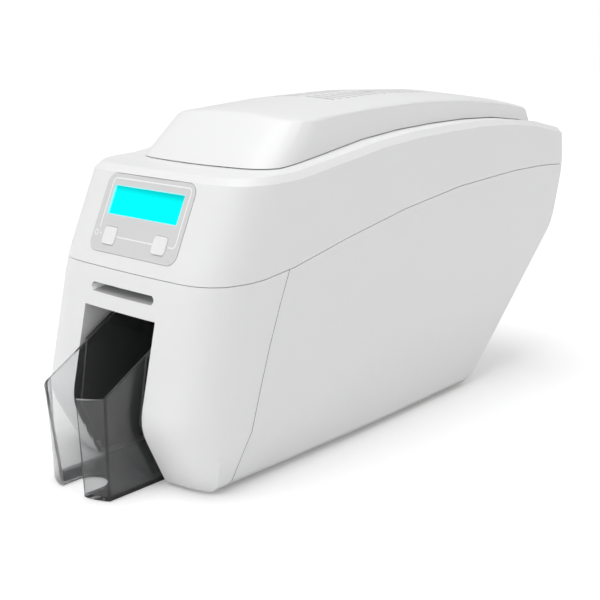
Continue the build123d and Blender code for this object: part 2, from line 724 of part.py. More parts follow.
def front_fascia():
    fascia = LOWER_SKIN & FASCIA_SIDE
    walls = block(BAY_HALF_W, BAY_HALF_W + BAY_LINING, 0, BAY_DEPTH_Y, BASE_Z + BASE_RIM,
                  BAY_TOP_Z + BAY_LINING)
    lip = block(-BAY_HALF_W - BAY_LINING, BAY_HALF_W + BAY_LINING, 0, front_y(BAY_TOP_Z) + 12.0, BAY_TOP_Z,
                BAY_TOP_Z + BAY_LINING)
    inside = casing_form(SKIN / 2) & FASCIA_SIDE
    fascia = fascia + ((both_sides(walls) + lip) & inside)
    fascia = fascia - block(-BAY_HALF_W, BAY_HALF_W, -40, BAY_DEPTH_Y + 10, -20, BAY_TOP_Z)
    skin_y = front_y(SLOT_Z)
    boss = block(-SLOT_HALF_W - 3, SLOT_HALF_W + 3, skin_y, skin_y + SLOT_DEPTH, SLOT_Z - 7, SLOT_Z + 7)
    fascia = fascia + (boss & inside)
    mouth = Pos(0, SLOT_Z) * clipped_rectangle(2 * SLOT_HALF_W, SLOT_HEIGHT, SLOT_HEIGHT * SLOT_CUT)
    throat = Pos(0, PATH_Z) * clipped_rectangle(CARD_WIDTH + 2 * CARD_ROOM, SLOT_MOUTH_HEIGHT,
                                                SLOT_MOUTH_HEIGHT * SLOT_CUT)
    outside = Plane(origin=(0, skin_y - 1.0, 0), x_dir=(1, 0, 0), z_dir=(0, -1, 0))
    deep = Plane(origin=(0, skin_y + SLOT_DEPTH + 0.5, 0), x_dir=(1, 0, 0), z_dir=(0, -1, 0))
    funnel = loft([outside * mouth, deep * throat], ruled=True)
    return fascia - funnel


keep("front_fascia", front_fascia())


# Side panels wrap round to the rear panel, which carries the sockets and the fan

BEHIND = LOWER_SKIN & BEHIND_FASCIA
REAR_STRIP = block(-REAR_PANEL_HALF_W, REAR_PANEL_HALF_W, REAR_BOTTOM[0] - 30, BODY_REACH_Y, FORM_LOW_Z - 6,
                   260)
SIDE_ZONE = block(0.2, BODY_HALF_W * 1.3, -40, BODY_REACH_Y, FORM_LOW_Z - 6, 260)
SIDE_PANEL = (BEHIND & SIDE_ZONE) - REAR_STRIP
keep("side_panel_right", SIDE_PANEL)
keep("side_panel_left", mirror(SIDE_PANEL, about=Plane.YZ))

REAR_LEAN = (REAR_KNEE[0] - REAR_BOTTOM[0]) / (REAR_KNEE[1] - REAR_BOTTOM[1])
REAR_MID_Z = REAR_BOTTOM[1] + (REAR_MID_Y - REAR_BOTTOM[0]) / REAR_LEAN
REAR_PLANE = Plane(origin=(0, REAR_MID_Y, REAR_MID_Z), x_dir=(-1, 0, 0), z_dir=(0, 1, -REAR_LEAN))


def on_rear(sketch, out, inwards):
    """Extrudes a sketch on the sloping rear face, from one height outside it to a depth inside."""
    return extrude(REAR_PLANE * (Pos(0, 0, out) * sketch), amount=inwards - out)


def rear_panel():
    strip = block(-REAR_PANEL_HALF_W + SEAM_GAP, REAR_PANEL_HALF_W - SEAM_GAP, REAR_BOTTOM[0] - 30,
                  BODY_REACH_Y,
                  FORM_LOW_Z - 6, 260)
    panel = BEHIND & strip
    for k in range(FAN_SLOTS):
        across = (k - (FAN_SLOTS - 1) / 2) * FAN_SLOT_PITCH
        length = 2 * sqrt((FAN_SIDE / 2) ** 2 - across ** 2)
        panel = panel - on_rear(Pos(FAN_X, FAN_UP + across) * Rectangle(length, FAN_SLOT_WIDTH), 4.0,
                                -SKIN - 1.0)
    for x, up, width, height in (POWER_PLACE, USB_PLACE, NETWORK_PLACE, SWITCH_PLACE):
        hole = Rectangle(width + 2 * FACE_GAP, height + 2 * FACE_GAP)
        panel = panel - on_rear(Pos(x, up) * hole, 4.0, -SKIN - 1.0)
    return panel


keep("rear_panel", rear_panel())


# Display: bezel plate, backlit window behind it, two keys and the board that carries their switches

def display_bezel():
    plate = on_panel(soft_rectangle(2 * PANEL_HALF_W, PANEL_HEIGHT, PANEL_R), PANEL_FACE, PANEL_BACK)
    plate = plate - on_panel(Pos(0, WINDOW_UP) * Rectangle(2 * WINDOW_HALF_W, WINDOW_HEIGHT), 4.0,
                             PANEL_BACK - 1.0)
    for x in (-BUTTON_X, BUTTON_X):
        hole = soft_rectangle(BUTTON_WIDTH + 2 * SLIDE_GAP, BUTTON_HEIGHT + 2 * SLIDE_GAP,
                              BUTTON_R + SLIDE_GAP, x,
                              -BUTTON_DOWN)
        plate = plate - on_panel(hole, 4.0, PANEL_BACK - 1.0)
    return plate


keep("display_bezel", display_bezel())

LCD_BACK = PANEL_BACK - LCD_THICK
window = on_panel(Pos(0, WINDOW_UP) * Rectangle(2 * WINDOW_HALF_W + 4, WINDOW_HEIGHT + 4), PANEL_BACK,
                  LCD_BACK)
keep("lcd_window", window)

STEM_BACK = PANEL_BACK - FACE_GAP - BUTTON_FLANGE - BUTTON_STEM
SWITCH_TOP = STEM_BACK - BUTTON_TRAVEL - FACE_GAP
BOARD_TOP = SWITCH_TOP - SWITCH_HEIGHT


def panel_button(x):
    cap = on_panel(soft_rectangle(BUTTON_WIDTH, BUTTON_HEIGHT, BUTTON_R, x, -BUTTON_DOWN),
                   PANEL_FACE + BUTTON_PROUD, PANEL_BACK - FACE_GAP)
    cap = chamfer(cap.faces().sort_by(Axis(PANEL_PLANE.origin, PANEL_PLANE.z_dir))[-1].edges(), BUTTON_EASE)
    flange = on_panel(Pos(x, -BUTTON_DOWN) * Rectangle(BUTTON_WIDTH + 3, BUTTON_HEIGHT + 2),
                      PANEL_BACK - FACE_GAP,
                      PANEL_BACK - FACE_GAP - BUTTON_FLANGE)
    stem = on_panel(Pos(x, -BUTTON_DOWN) * RegularPolygon(BUTTON_STEM_R, SCREW_SIDES), PANEL_BACK - FACE_GAP,
                    STEM_BACK)
    return cap + flange + stem


keep("button_left", panel_button(-BUTTON_X))
keep("button_right", panel_button(BUTTON_X))


def control_board():
    board = on_panel(Rectangle(2 * WINDOW_HALF_W + 4, PANEL_HEIGHT - 2 * PANEL_LEDGE - 1), BOARD_TOP,
                     BOARD_TOP - BOARD_THICK)
    for x in (-BUTTON_X, BUTTON_X):
        board = board + on_panel(Pos(x, -BUTTON_DOWN) * Rectangle(6, 6), SWITCH_TOP - 1.0, BOARD_TOP)
        board = board + on_panel(Pos(x, -BUTTON_DOWN) * RegularPolygon(BUTTON_STEM_R, SCREW_SIDES),
                                 SWITCH_TOP, BOARD_TOP)
    carrier = on_panel(Pos(0, WINDOW_UP) * Rectangle(2 * WINDOW_HALF_W, WINDOW_HEIGHT), LCD_BACK, BOARD_TOP)
    connector = on_panel(Pos(0, -BUTTON_DOWN) * Rectangle(18, 5), BOARD_TOP - BOARD_THICK,
                         BOARD_TOP - BOARD_THICK - 5)
    return board + carrier + connector


keep("control_board", control_board())


# Card tray: clear moulding with a flat floor, sloping walls and two curved vanes that stop the cards

TRAY_HALF_W = CARD_WIDTH / 2 + CARD_ROOM + TRAY_WALL


def vane(side):
    """One front vane, leaning out towards its top, between the tray's corner and the finger gap."""
    sections = []
    for z, tip in ((TRAY_FLOOR_Z, (VANE_TIP_X, VANE_TIP_Y)), (VANE_TOP_Z, (VANE_TOP_TIP_X, VANE_TOP_TIP_Y))):
        root = (TRAY_HALF_W, 0.0)
        chord = hypot(root[0] - tip[0], root[1] - tip[1])
        out = ((root[1] - tip[1]) / chord, (tip[0] - root[0]) / chord)
        middle = ((root[0] + tip[0]) / 2 + out[0] * VANE_BOW, (root[1] + tip[1]) / 2 + out[1] * VANE_BOW)
        curve = ThreePointArc(root, middle, tip)
        steps = [curve @ (k / VANE_FLATS) for k in range(VANE_FLATS + 1)]
        outer = [(side * p.X, p.Y) for p in steps]
        inner = [(side * (p.X - out[0] * TRAY_WALL), p.Y - out[1] * TRAY_WALL) for p in reversed(steps)]
        sections.append(Pos(0, 0, z) * make_face(Polyline(*outer, *inner, close=True)))
    return loft(sections, ruled=True)


def card_tray():
    side = make_face(Polyline((0, TRAY_FLOOR_Z), (TRAY_BACK_Y, TRAY_FLOOR_Z), (TRAY_BACK_Y, TRAY_BACK_Z),
                              (TRAY_SLOPE_END_Y, TRAY_BACK_Z), (0, TRAY_FRONT_Z), close=True))
    tray = both_sides(side_prism(side, TRAY_HALF_W - TRAY_WALL, TRAY_HALF_W))
    outline = Polyline((-TRAY_HALF_W, 0), (-VANE_TIP_X, VANE_TIP_Y), (VANE_TIP_X, VANE_TIP_Y),
                       (TRAY_HALF_W, 0),
                       (TRAY_HALF_W, TRAY_BACK_Y), (-TRAY_HALF_W, TRAY_BACK_Y), close=True)
    floor = plan_prism(make_face(outline), TRAY_FLOOR_Z, TRAY_FLOOR_Z + TRAY_WALL)
    tray = tray + floor + block(-TRAY_HALF_W, TRAY_HALF_W, TRAY_BACK_Y - TRAY_WALL, TRAY_BACK_Y, TRAY_FLOOR_Z,
                                TRAY_BACK_STOP_Z)
    tray = tray + vane(1) + vane(-1)
    notch = Pos(0, VANE_TIP_Y) * SlotOverall(2 * NOTCH_DEPTH + 2 * NOTCH_R, 2 * NOTCH_R, rotation=90)
    return tray - plan_prism(notch, TRAY_FLOOR_Z - 1, TRAY_FLOOR_Z + TRAY_WALL + 1)


keep("card_tray", card_tray())


# Hopper: black box behind the tray, with side plates that run forward outside the tray's walls

HOPPER_HALF_W = TRAY_HALF_W + FACE_GAP + HOPPER_WALL


def card_hopper():
    slope = (TRAY_BACK_Z - TRAY_FRONT_Z) / TRAY_SLOPE_END_Y
    lead_y = front_y(TRAY_FRONT_Z + slope * TRAY_SLOPE_END_Y / 2) + FRONT_BOW + HOPPER_SIDE_BACK
    knee_z = FRONT_KNEE_Z
    plate = make_face(Polyline((front_y(HOPPER_FLOOR_Z) + FOOT_BOW + HOPPER_SIDE_BACK, HOPPER_FLOOR_Z),
                               (HOPPER_BACK_Y, HOPPER_FLOOR_Z), (HOPPER_BACK_Y, TRAY_BACK_Z),
                               (TRAY_SLOPE_END_Y, TRAY_BACK_Z), (lead_y, TRAY_FRONT_Z + slope * lead_y),
                               (front_y(knee_z) + FRONT_BOW + HOPPER_SIDE_BACK, knee_z), close=True))
    box = both_sides(side_prism(plate, HOPPER_HALF_W - HOPPER_WALL, HOPPER_HALF_W))
    front = TRAY_BACK_Y + FACE_GAP
    box = box + block(-HOPPER_HALF_W, HOPPER_HALF_W, front, HOPPER_BACK_Y, HOPPER_FLOOR_Z,
                      HOPPER_FLOOR_Z + HOPPER_WALL)
    box = box + block(-HOPPER_HALF_W, HOPPER_HALF_W, HOPPER_BACK_Y - HOPPER_WALL, HOPPER_BACK_Y,
                      HOPPER_FLOOR_Z,
                      TRAY_BACK_Z - 8)
    box = box + block(-HOPPER_HALF_W, HOPPER_HALF_W, front, front + HOPPER_WALL, HOPPER_FLOOR_Z,
                      HOPPER_DIVIDER_TOP_Z)
    slot_y = (front + HOPPER_BACK_Y) / 2
    guide = block(HOPPER_HALF_W - HOPPER_WALL - 1, HOPPER_HALF_W + 1, slot_y - LIFT_TAB_W / 2 - SLIDE_GAP,
                  slot_y + LIFT_TAB_W / 2 + SLIDE_GAP, LIFT_TOP_Z - LIFT_TRAVEL - LIFT_THICK - SLIDE_GAP,
                  LIFT_TOP_Z + SLIDE_GAP)
    return box - both_sides(guide)


keep("card_hopper", card_hopper())

LIFT_FRONT_Y = TRAY_BACK_Y + FACE_GAP + HOPPER_WALL + 1.0
LIFT_BACK_Y = HOPPER_BACK_Y - HOPPER_WALL - 1.0
LIFT_HALF_W = TRAY_HALF_W + FACE_GAP - SLIDE_GAP
LIFT_MID_Y = (TRAY_BACK_Y + FACE_GAP + HOPPER_BACK_Y) / 2
lift = block(-LIFT_HALF_W, LIFT_HALF_W, LIFT_FRONT_Y, LIFT_BACK_Y, LIFT_TOP_Z - LIFT_THICK, LIFT_TOP_Z)
lift = lift + both_sides(block(LIFT_HALF_W, HOPPER_HALF_W - 0.5, LIFT_MID_Y - LIFT_TAB_W / 2,
                               LIFT_MID_Y + LIFT_TAB_W / 2, LIFT_TOP_Z - LIFT_THICK, LIFT_TOP_Z))
keep("hopper_lift_plate", lift)


# Base: shallow pan inside the foot of the casing, notched in front for the tray, with four rubber feet

FRAME_OUTER_X = FRAME_INNER_X + FRAME_THICK
FLANGE_MID_X = FRAME_OUTER_X + FRAME_FLANGE / 2
BASE_SCREW_PLACES = [(x, y) for x in (-FLANGE_MID_X, FLANGE_MID_X) for y in BASE_SCREW_Y]
FOOT_PLACES = [(x, y) for x in (-FOOT_X, FOOT_X) for y in (FOOT_FRONT_Y, FOOT_REAR_Y)]


def base_chassis():
    pan = casing_form(SKIN + SLIDE_GAP) & block(-100, 100, 0, 500, BASE_Z, BASE_Z + BASE_RIM)
    hollow = casing_form(SKIN + SLIDE_GAP + BASE_THICK) & block(-100, 100, 0, 500, BASE_Z + BASE_THICK, 60)
    pan = pan - hollow
    notch_half = BAY_HALF_W + BAY_LINING + SLIDE_GAP
    pan = pan - block(-notch_half, notch_half, -10, BASE_NOTCH_BACK_Y, -10, 60)
    for x, y in FOOT_PLACES:
        recess = Pos(x, y) * RegularPolygon(FOOT_R + SLIDE_GAP / 3, WHEEL_SIDES)
        pan = pan - plan_prism(recess, BASE_Z - FOOT_SINK, BASE_Z + FOOT_SINK)
    rail = block(HOPPER_HALF_W + SLIDE_GAP, HOPPER_HALF_W + SLIDE_GAP + 2, BASE_NOTCH_BACK_Y,
                 HOPPER_BACK_Y + 4,
                 BASE_Z, HOPPER_FLOOR_Z + 6)
    stop = block(-HOPPER_HALF_W, HOPPER_HALF_W, HOPPER_BACK_Y + SLIDE_GAP, HOPPER_BACK_Y + SLIDE_GAP + 2,
                 BASE_Z,
                 HOPPER_FLOOR_Z + 10)
    pan = pan + both_sides(rail) + stop
    for x, y in BASE_SCREW_PLACES:
        opening = Pos(x, y) * hole(SCREW_R + SLIDE_GAP / 3, SCREW_SIDES)
        pan = pan - plan_prism(opening, BASE_Z - 1, BASE_Z + BASE_THICK + 1)
    return pan


keep("base_chassis", base_chassis())

feet = [plan_prism(Pos(x, y) * RegularPolygon(FOOT_R, WHEEL_SIDES), 0, BASE_Z + FOOT_SINK)
        for x, y in FOOT_PLACES]
feet = [chamfer(foot.faces().sort_by(Axis.Z)[0].edges(), 0.6) for foot in feet]
keep("rubber_feet", *feet)


# Heights of the rollers on the card path, and where their shafts end

DRIVE_Z = PATH_Z - ROLLER_R - NIP_GAP
PINCH_Z = PATH_Z + PINCH_R + NIP_GAP
CLEAN_Z = PATH_Z + ROLLER_R + NIP_GAP
PICK_Z = LIFT_TOP_Z + NIP_GAP + PICK_R
PICK_CENTRES = GEAR_MODULE * PICK_TEETH
PICK_Y = TRANSPORT_Y - sqrt(PICK_CENTRES ** 2 - (DRIVE_Z - PICK_Z) ** 2)
MOTOR_Z = DRIVE_Z - GEAR_MODULE * (PLATEN_TEETH + PINION_TEETH) / 2
BUSH_END_X = FRAME_OUTER_X + BUSH_PROUD
SHAFT_END_X = BUSH_END_X + SHAFT_STUB
PULLEY_END_X = PULLEY_INNER_X + BELT_WIDTH + 2 * BELT_ROOM + 2 * PULLEY_FLANGE
PICK_GEAR_X = -BUSH_END_X - FACE_GAP - SPUR_WIDTH


def gear(teeth, bore_r, x, width, y, z, turn):
    """Spur gear with straight-flanked teeth. One tooth points at the given angle from +Y."""
    pitch_r = GEAR_MODULE * teeth / 2
    step = 2 * pi / teeth
    tooth = [(pitch_r - 1.2 * GEAR_MODULE, -0.34), (pitch_r + 0.9 * GEAR_MODULE, -0.12),
             (pitch_r + 0.9 * GEAR_MODULE, 0.12), (pitch_r - 1.2 * GEAR_MODULE, 0.34)]
    points = [(r * cos(turn + (k + at) * step), r * sin(turn + (k + at) * step))
              for k in range(teeth) for r, at in tooth]
    wheel = make_face(Polyline(*points, close=True)) - Circle(bore_r)
    return side_prism(Pos(y, z) * wheel, x, x + width)


def pulley(y, z):
    """Belt pulley with a flange on each side."""
    wheel = bar(PULLEY_R, PULLEY_INNER_X, PULLEY_END_X, y, z, WHEEL_SIDES)
    for x in (PULLEY_INNER_X, PULLEY_END_X - PULLEY_FLANGE):
        wheel = wheel + bar(PULLEY_FLANGE_R, x, x + PULLEY_FLANGE, y, z, WHEEL_SIDES)
    return wheel


def driven_roller(y, left_x, right_x):
    """Rubber-covered roller on a steel shaft, with its belt pulley."""
    sleeve = rod(ROLLER_R, -ROLLER_HALF_W, ROLLER_HALF_W, y, DRIVE_Z)
    return sleeve + bar(SHAFT_R, left_x, right_x, y, DRIVE_Z) + pulley(y, DRIVE_Z)


keep("feed_roller", driven_roller(FEED_Y, -SHAFT_END_X, PULLEY_END_X))
keep("exit_roller", driven_roller(EXIT_Y, -SHAFT_END_X, PULLEY_END_X))
transport = driven_roller(TRANSPORT_Y, PICK_GEAR_X, PULLEY_END_X)
keep("transport_roller", transport + gear(PICK_TEETH, SHAFT_R / 2, PICK_GEAR_X, SPUR_WIDTH, TRANSPORT_Y,
                                          DRIVE_Z, 0.0))
keep("platen_roller", driven_roller(PLATEN_Y, -SHAFT_END_X, GEAR_INNER_X + GEAR_WIDTH))


def idle_roller(r, half_w, shaft_r, y, z):
    return rod(r, -half_w, half_w, y, z) + bar(shaft_r, -BUSH_END_X, BUSH_END_X, y, z)


keep("pinch_roller_front", idle_roller(PINCH_R, ROLLER_HALF_W, PINCH_SHAFT_R, TRANSPORT_Y, PINCH_Z))
keep("pinch_roller_rear", idle_roller(PINCH_R, ROLLER_HALF_W, PINCH_SHAFT_R, EXIT_Y, PINCH_Z))
keep("cleaning_roller", idle_roller(ROLLER_R, ROLLER_HALF_W, SHAFT_R, FEED_Y, CLEAN_Z))


def pick_roller():
    """Two rubber tyres on a hub, turned by a gear on the outside of the left frame."""
    roller = bar(SHAFT_R, PICK_GEAR_X, BUSH_END_X, PICK_Y, PICK_Z)
    roller = roller + bar(PICK_R - 3.0, -PICK_HALF_W, PICK_HALF_W, PICK_Y, PICK_Z)
    roller = roller + both_sides(rod(PICK_R, PICK_HALF_W - 9.0, PICK_HALF_W, PICK_Y, PICK_Z))
    turn = atan2(PICK_Z - DRIVE_Z, PICK_Y - TRANSPORT_Y)
    half_tooth = pi / PICK_TEETH
    mesh = 2 * turn + pi + half_tooth
    return roller + gear(PICK_TEETH, SHAFT_R / 2, PICK_GEAR_X, SPUR_WIDTH, PICK_Y, PICK_Z, mesh)


keep("pick_roller", pick_roller())


# Belt over the four pulleys, and the motor that drives the platen's gear

def drive_belt():
    x0 = PULLEY_INNER_X + PULLEY_FLANGE + BELT_ROOM
    reach = EXIT_Y - FEED_Y
    middle = Pos((FEED_Y + EXIT_Y) / 2, DRIVE_Z)
    inner_r = PULLEY_R + SLIDE_GAP
    outer_r = inner_r + BELT_THICK
    loop = middle * (SlotCenterToCenter(reach, 2 * outer_r) - SlotCenterToCenter(reach, 2 * inner_r))
    return side_prism(loop, x0, x0 + BELT_WIDTH)


keep("drive_belt", drive_belt())
keep("platen_gear", gear(PLATEN_TEETH, SHAFT_R + RUN_GAP, GEAR_INNER_X, GEAR_WIDTH, PLATEN_Y, DRIVE_Z,
                         -pi / 2))


def drive_motor():
    """Square stepper motor, bolted to the inside of the right frame, with a pilot boss through it."""
    outline = Pos(PLATEN_Y, MOTOR_Z) * clipped_rectangle(MOTOR_SIDE, MOTOR_SIDE, 3.0)
    motor = side_prism(outline, FRAME_INNER_X - MOTOR_LENGTH, FRAME_INNER_X)
    motor = motor + bar(MOTOR_PILOT_R, FRAME_INNER_X, FRAME_OUTER_X, PLATEN_Y, MOTOR_Z, WHEEL_SIDES)
    return motor + bar(MOTOR_SHAFT_R, FRAME_OUTER_X, GEAR_INNER_X + GEAR_WIDTH, PLATEN_Y, MOTOR_Z)


keep("drive_motor", drive_motor())
half_pinion_tooth = pi / PINION_TEETH
keep("motor_pinion", gear(PINION_TEETH, MOTOR_SHAFT_R + RUN_GAP, GEAR_INNER_X, GEAR_WIDTH, PLATEN_Y, MOTOR_Z,
                          pi / 2 + half_pinion_tooth))


# Side frames: bent sheet plates that carry every shaft, with open slots for the ribbon cassette

RIBBON_PINION_CENTRES = GEAR_MODULE * (SPOOL_TEETH + PINION_TEETH) / 2
RIBBON_MOTOR_Y = TAKEUP_Y - RIBBON_PINION_CENTRES * cos(pi / 4)
RIBBON_MOTOR_Z = TAKEUP_Z - RIBBON_PINION_CENTRES * sin(pi / 4)
BAR_FRONT_Y = PLATEN_Y - GUIDE_BAR_SPAN
BAR_REAR_Y = PLATEN_Y + GUIDE_BAR_SPAN
FRAME_LOW_Z = BASE_Z + BASE_THICK
VALLEY_FRONT_Y = PLATEN_Y - FRAME_VALLEY
VALLEY_REAR_Y = PLATEN_Y + FRAME_VALLEY
FRAME_OUTLINE = [(95, FRAME_LOW_Z), (345, FRAME_LOW_Z), (372, 60), (372, 150), (330, 200), (285, 205),
                 (VALLEY_REAR_Y, 170), (VALLEY_FRONT_Y, 170), (190, 200), (140, 205),
                 (120, 160), (66, 148), (66, 116),
                 (95, 110)]
BUSH_PLACES = [(y, DRIVE_Z) for y in (FEED_Y, TRANSPORT_Y, PLATEN_Y, EXIT_Y)]
BUSH_PLACES += [(PICK_Y, PICK_Z), (FEED_Y, CLEAN_Z)]


def side_frame(side):
    outline = make_face(Polyline(*FRAME_OUTLINE, close=True))
    for y, z in BUSH_PLACES:
        outline = outline - Pos(y, z) * RegularPolygon(BUSH_R + RUN_GAP, BUSH_SIDES)
    for y in (TRANSPORT_Y, EXIT_Y):
        outline = outline - Pos(y, PINCH_Z) * hole(PINCH_SHAFT_R + RUN_GAP)
    outline = outline - Pos(FLAP_PIVOT_Y, FLAP_PIVOT_Z) * hole(FLAP_PIN_R + RUN_GAP)
    for y, z in TIE_PLACES:
        outline = outline - Pos(y, z) * hole(SCREW_R + SLIDE_GAP / 3, SCREW_SIDES)
    for y in (BAR_FRONT_Y, BAR_REAR_Y):
        slot_r = GUIDE_BAR_R + SLIDE_GAP
        outline = outline - Pos(y, GUIDE_BAR_Z) * hole(slot_r)
        outline = outline - Pos(y, GUIDE_BAR_Z + BAR_SLOT_DEPTH / 2) * Rectangle(2 * slot_r, BAR_SLOT_DEPTH)
    if side > 0:
        outline = outline - Pos(PLATEN_Y, MOTOR_Z) * RegularPolygon(MOTOR_PILOT_R + FACE_GAP, WHEEL_SIDES)
        outline = outline - Pos(RIBBON_MOTOR_Y, RIBBON_MOTOR_Z) * hole(MOTOR_SHAFT_R + 1)
        for y, z in FRAME_WINDOWS:
            outline = outline - Pos(y, z) * clipped_rectangle(FRAME_WINDOW, FRAME_WINDOW, FRAME_WINDOW_CUT)
    plate = side_prism(outline, FRAME_INNER_X, FRAME_OUTER_X)
    flange = block(FRAME_OUTER_X, FRAME_OUTER_X + FRAME_FLANGE, 95, 345, FRAME_LOW_Z,
                   FRAME_LOW_Z + FRAME_THICK)
    for y in BASE_SCREW_Y:
        opening = Pos(FLANGE_MID_X, y) * hole(SCREW_R + SLIDE_GAP / 3, SCREW_SIDES)
        flange = flange - plan_prism(opening, BASE_Z, FRAME_LOW_Z + 2 * FRAME_THICK)
    plate = plate + flange
    return plate if side > 0 else mirror(plate, about=Plane.YZ)


keep("side_frame_right", side_frame(1))
keep("side_frame_left", side_frame(-1))


def bush(side, y, z):
    """Plain acetal bush pressed through a frame, standing a little proud outside it."""
    ring = RegularPolygon(BUSH_R, BUSH_SIDES) - hole(SHAFT_R + RUN_GAP, BUSH_SIDES)
    solid = side_prism(Pos(y, z) * ring, FRAME_INNER_X, BUSH_END_X)
    return solid if side > 0 else mirror(solid, about=Plane.YZ)


keep("roller_bushes", *[bush(side, y, z) for side in (-1, 1) for y, z in BUSH_PLACES])


keep("cross_ties", *[bar(SHAFT_R, -FRAME_INNER_X, FRAME_INNER_X, y, z) for y, z in TIE_PLACES])


def frame_screw(side, y, z):
    """The screw that shows on the outside of a frame; its thread in the tie is not drawn."""
    screw = bar(SCREW_HEAD_R, FRAME_OUTER_X, FRAME_OUTER_X + SCREW_HEAD, y, z, SCREW_SIDES)
    screw = screw + bar(SCREW_R, FRAME_INNER_X, FRAME_OUTER_X, y, z, SCREW_SIDES)
    return screw if side > 0 else mirror(screw, about=Plane.YZ)


keep("frame_screws", *[frame_screw(side, y, z) for side in (-1, 1) for y, z in TIE_PLACES])


def base_screw(x, y):
    head = plan_prism(Pos(x, y) * RegularPolygon(SCREW_HEAD_R, SCREW_SIDES), BASE_Z - SCREW_HEAD, BASE_Z)
    shank_top = BASE_Z + BASE_THICK + FRAME_THICK + 1
    return head + plan_prism(Pos(x, y) * RegularPolygon(SCREW_R, SCREW_SIDES), BASE_Z, shank_top)


keep("base_screws", *[base_screw(x, y) for x, y in BASE_SCREW_PLACES])


# Card guide between the frames, and the flap that drops finished cards into the tray

GUIDE_TOP_Z = PATH_Z - CARD_THICK / 2 - GUIDE_DROP
RAIL_INNER_X = CARD_WIDTH / 2 + RAIL_ROOM


def card_guide():
    plate = block(-RAIL_INNER_X - RAIL_THICK, RAIL_INNER_X + RAIL_THICK, GUIDE_FRONT_Y, GUIDE_REAR_Y,
                  GUIDE_TOP_Z - GUIDE_THICK, GUIDE_TOP_Z)
    for y in (TRANSPORT_Y, PLATEN_Y, EXIT_Y):
        plate = plate - block(-ROLLER_HALF_W - SLIDE_GAP, ROLLER_HALF_W + SLIDE_GAP, y - GUIDE_WINDOW,
                              y + GUIDE_WINDOW,
                              GUIDE_TOP_Z - GUIDE_THICK - 1, GUIDE_TOP_Z + 1)
    for y0, y1 in ((GUIDE_FRONT_Y, PLATEN_Y - GUIDE_WINDOW), (PLATEN_Y + GUIDE_WINDOW, GUIDE_REAR_Y)):
        plate = plate + both_sides(block(RAIL_INNER_X, RAIL_INNER_X + RAIL_THICK, y0, y1, GUIDE_TOP_Z,
                                         RAIL_TOP_Z))
    for y in GUIDE_TAB_Y:
        tab = block(RAIL_INNER_X, FRAME_INNER_X, y, y + GUIDE_TAB, GUIDE_TOP_Z - GUIDE_THICK, GUIDE_TOP_Z)
        ear = block(FRAME_INNER_X - GUIDE_THICK, FRAME_INNER_X, y, y + GUIDE_TAB, GUIDE_TOP_Z - 8,
                    GUIDE_TOP_Z)
        plate = plate + both_sides(tab + ear)
    return plate


keep("card_guide", card_guide())


def card_flap():
    """Thin ramp on a pivot rod, ribbed underneath."""
    top_z = FLAP_PIVOT_Z + FLAP_PIN_R + 0.5
    half = CARD_WIDTH / 2
    flap = block(-half, half, FLAP_FRONT_Y, FLAP_PIVOT_Y, top_z - 1.4, top_z)
    flap = flap + bar(FLAP_PIN_R + 1, -half, half, FLAP_PIVOT_Y, FLAP_PIVOT_Z)
    rib = make_face(Polyline((FLAP_FRONT_Y + 3, top_z - 1), (FLAP_PIVOT_Y, top_z - 1),
                             (FLAP_PIVOT_Y, top_z - 4),
                             close=True))
    for x in (-24, -8, 8, 24):
        flap = flap + side_prism(rib, x - 0.8, x + 0.8)
    return flap + rod(FLAP_PIN_R, -FRAME_OUTER_X, FRAME_OUTER_X, FLAP_PIVOT_Y, FLAP_PIVOT_Z)


keep("card_flap", card_flap())


# Ribbon cassette with its two spools, the film between them and the take-up motor

def ribbon_cassette():
    low_z = GUIDE_BAR_Z - 4.5
    high_z = GUIDE_BAR_Z + 6.0
    outline = make_face(Polyline((TAKEUP_Y, TAKEUP_Z - TAKEUP_BOSS_R), (BAR_FRONT_Y - 3, low_z),
                                 (BAR_REAR_Y + 3, low_z),
                                 (SUPPLY_Y, SUPPLY_Z - SUPPLY_BOSS_R), (SUPPLY_Y, SUPPLY_Z + SUPPLY_BOSS_R),
                                 (BAR_REAR_Y + 2, high_z), (BAR_FRONT_Y - 2, high_z),
                                 (TAKEUP_Y, TAKEUP_Z + TAKEUP_BOSS_R), close=True))
    outline = outline + Pos(TAKEUP_Y, TAKEUP_Z) * RegularPolygon(TAKEUP_BOSS_R, WHEEL_SIDES)
    outline = outline + Pos(SUPPLY_Y, SUPPLY_Z) * RegularPolygon(SUPPLY_BOSS_R, WHEEL_SIDES)
    for y, z in ((TAKEUP_Y, TAKEUP_Z), (SUPPLY_Y, SUPPLY_Z)):
        outline = outline - Pos(y, z) * hole(JOURNAL_R + RUN_GAP)
    cassette = both_sides(side_prism(outline, CASSETTE_X, CASSETTE_X + CASSETTE_THICK))
    for y in (BAR_FRONT_Y, BAR_REAR_Y):
        cassette = cassette + bar(GUIDE_BAR_R, -FRAME_OUTER_X - 1, FRAME_OUTER_X + 1, y, GUIDE_BAR_Z)
    return cassette


keep("ribbon_cassette", ribbon_cassette())


def spool(roll_r, y, z, right_x):
    """Core with a flange at each end, the wound film on it and a journal at each end."""
    reel = bar(CORE_R, -SPOOL_HALF_W, SPOOL_HALF_W, y, z, WHEEL_SIDES)
    reel = reel + bar(roll_r, -FILM_HALF_W, FILM_HALF_W, y, z, ROLL_SIDES)
    for x in (-SPOOL_HALF_W - SPOOL_FLANGE, SPOOL_HALF_W):
        reel = reel + bar(CORE_R + 3, x, x + SPOOL_FLANGE, y, z, WHEEL_SIDES)
    return reel + rod(JOURNAL_R, -CASSETTE_X - CASSETTE_THICK, right_x, y, z)


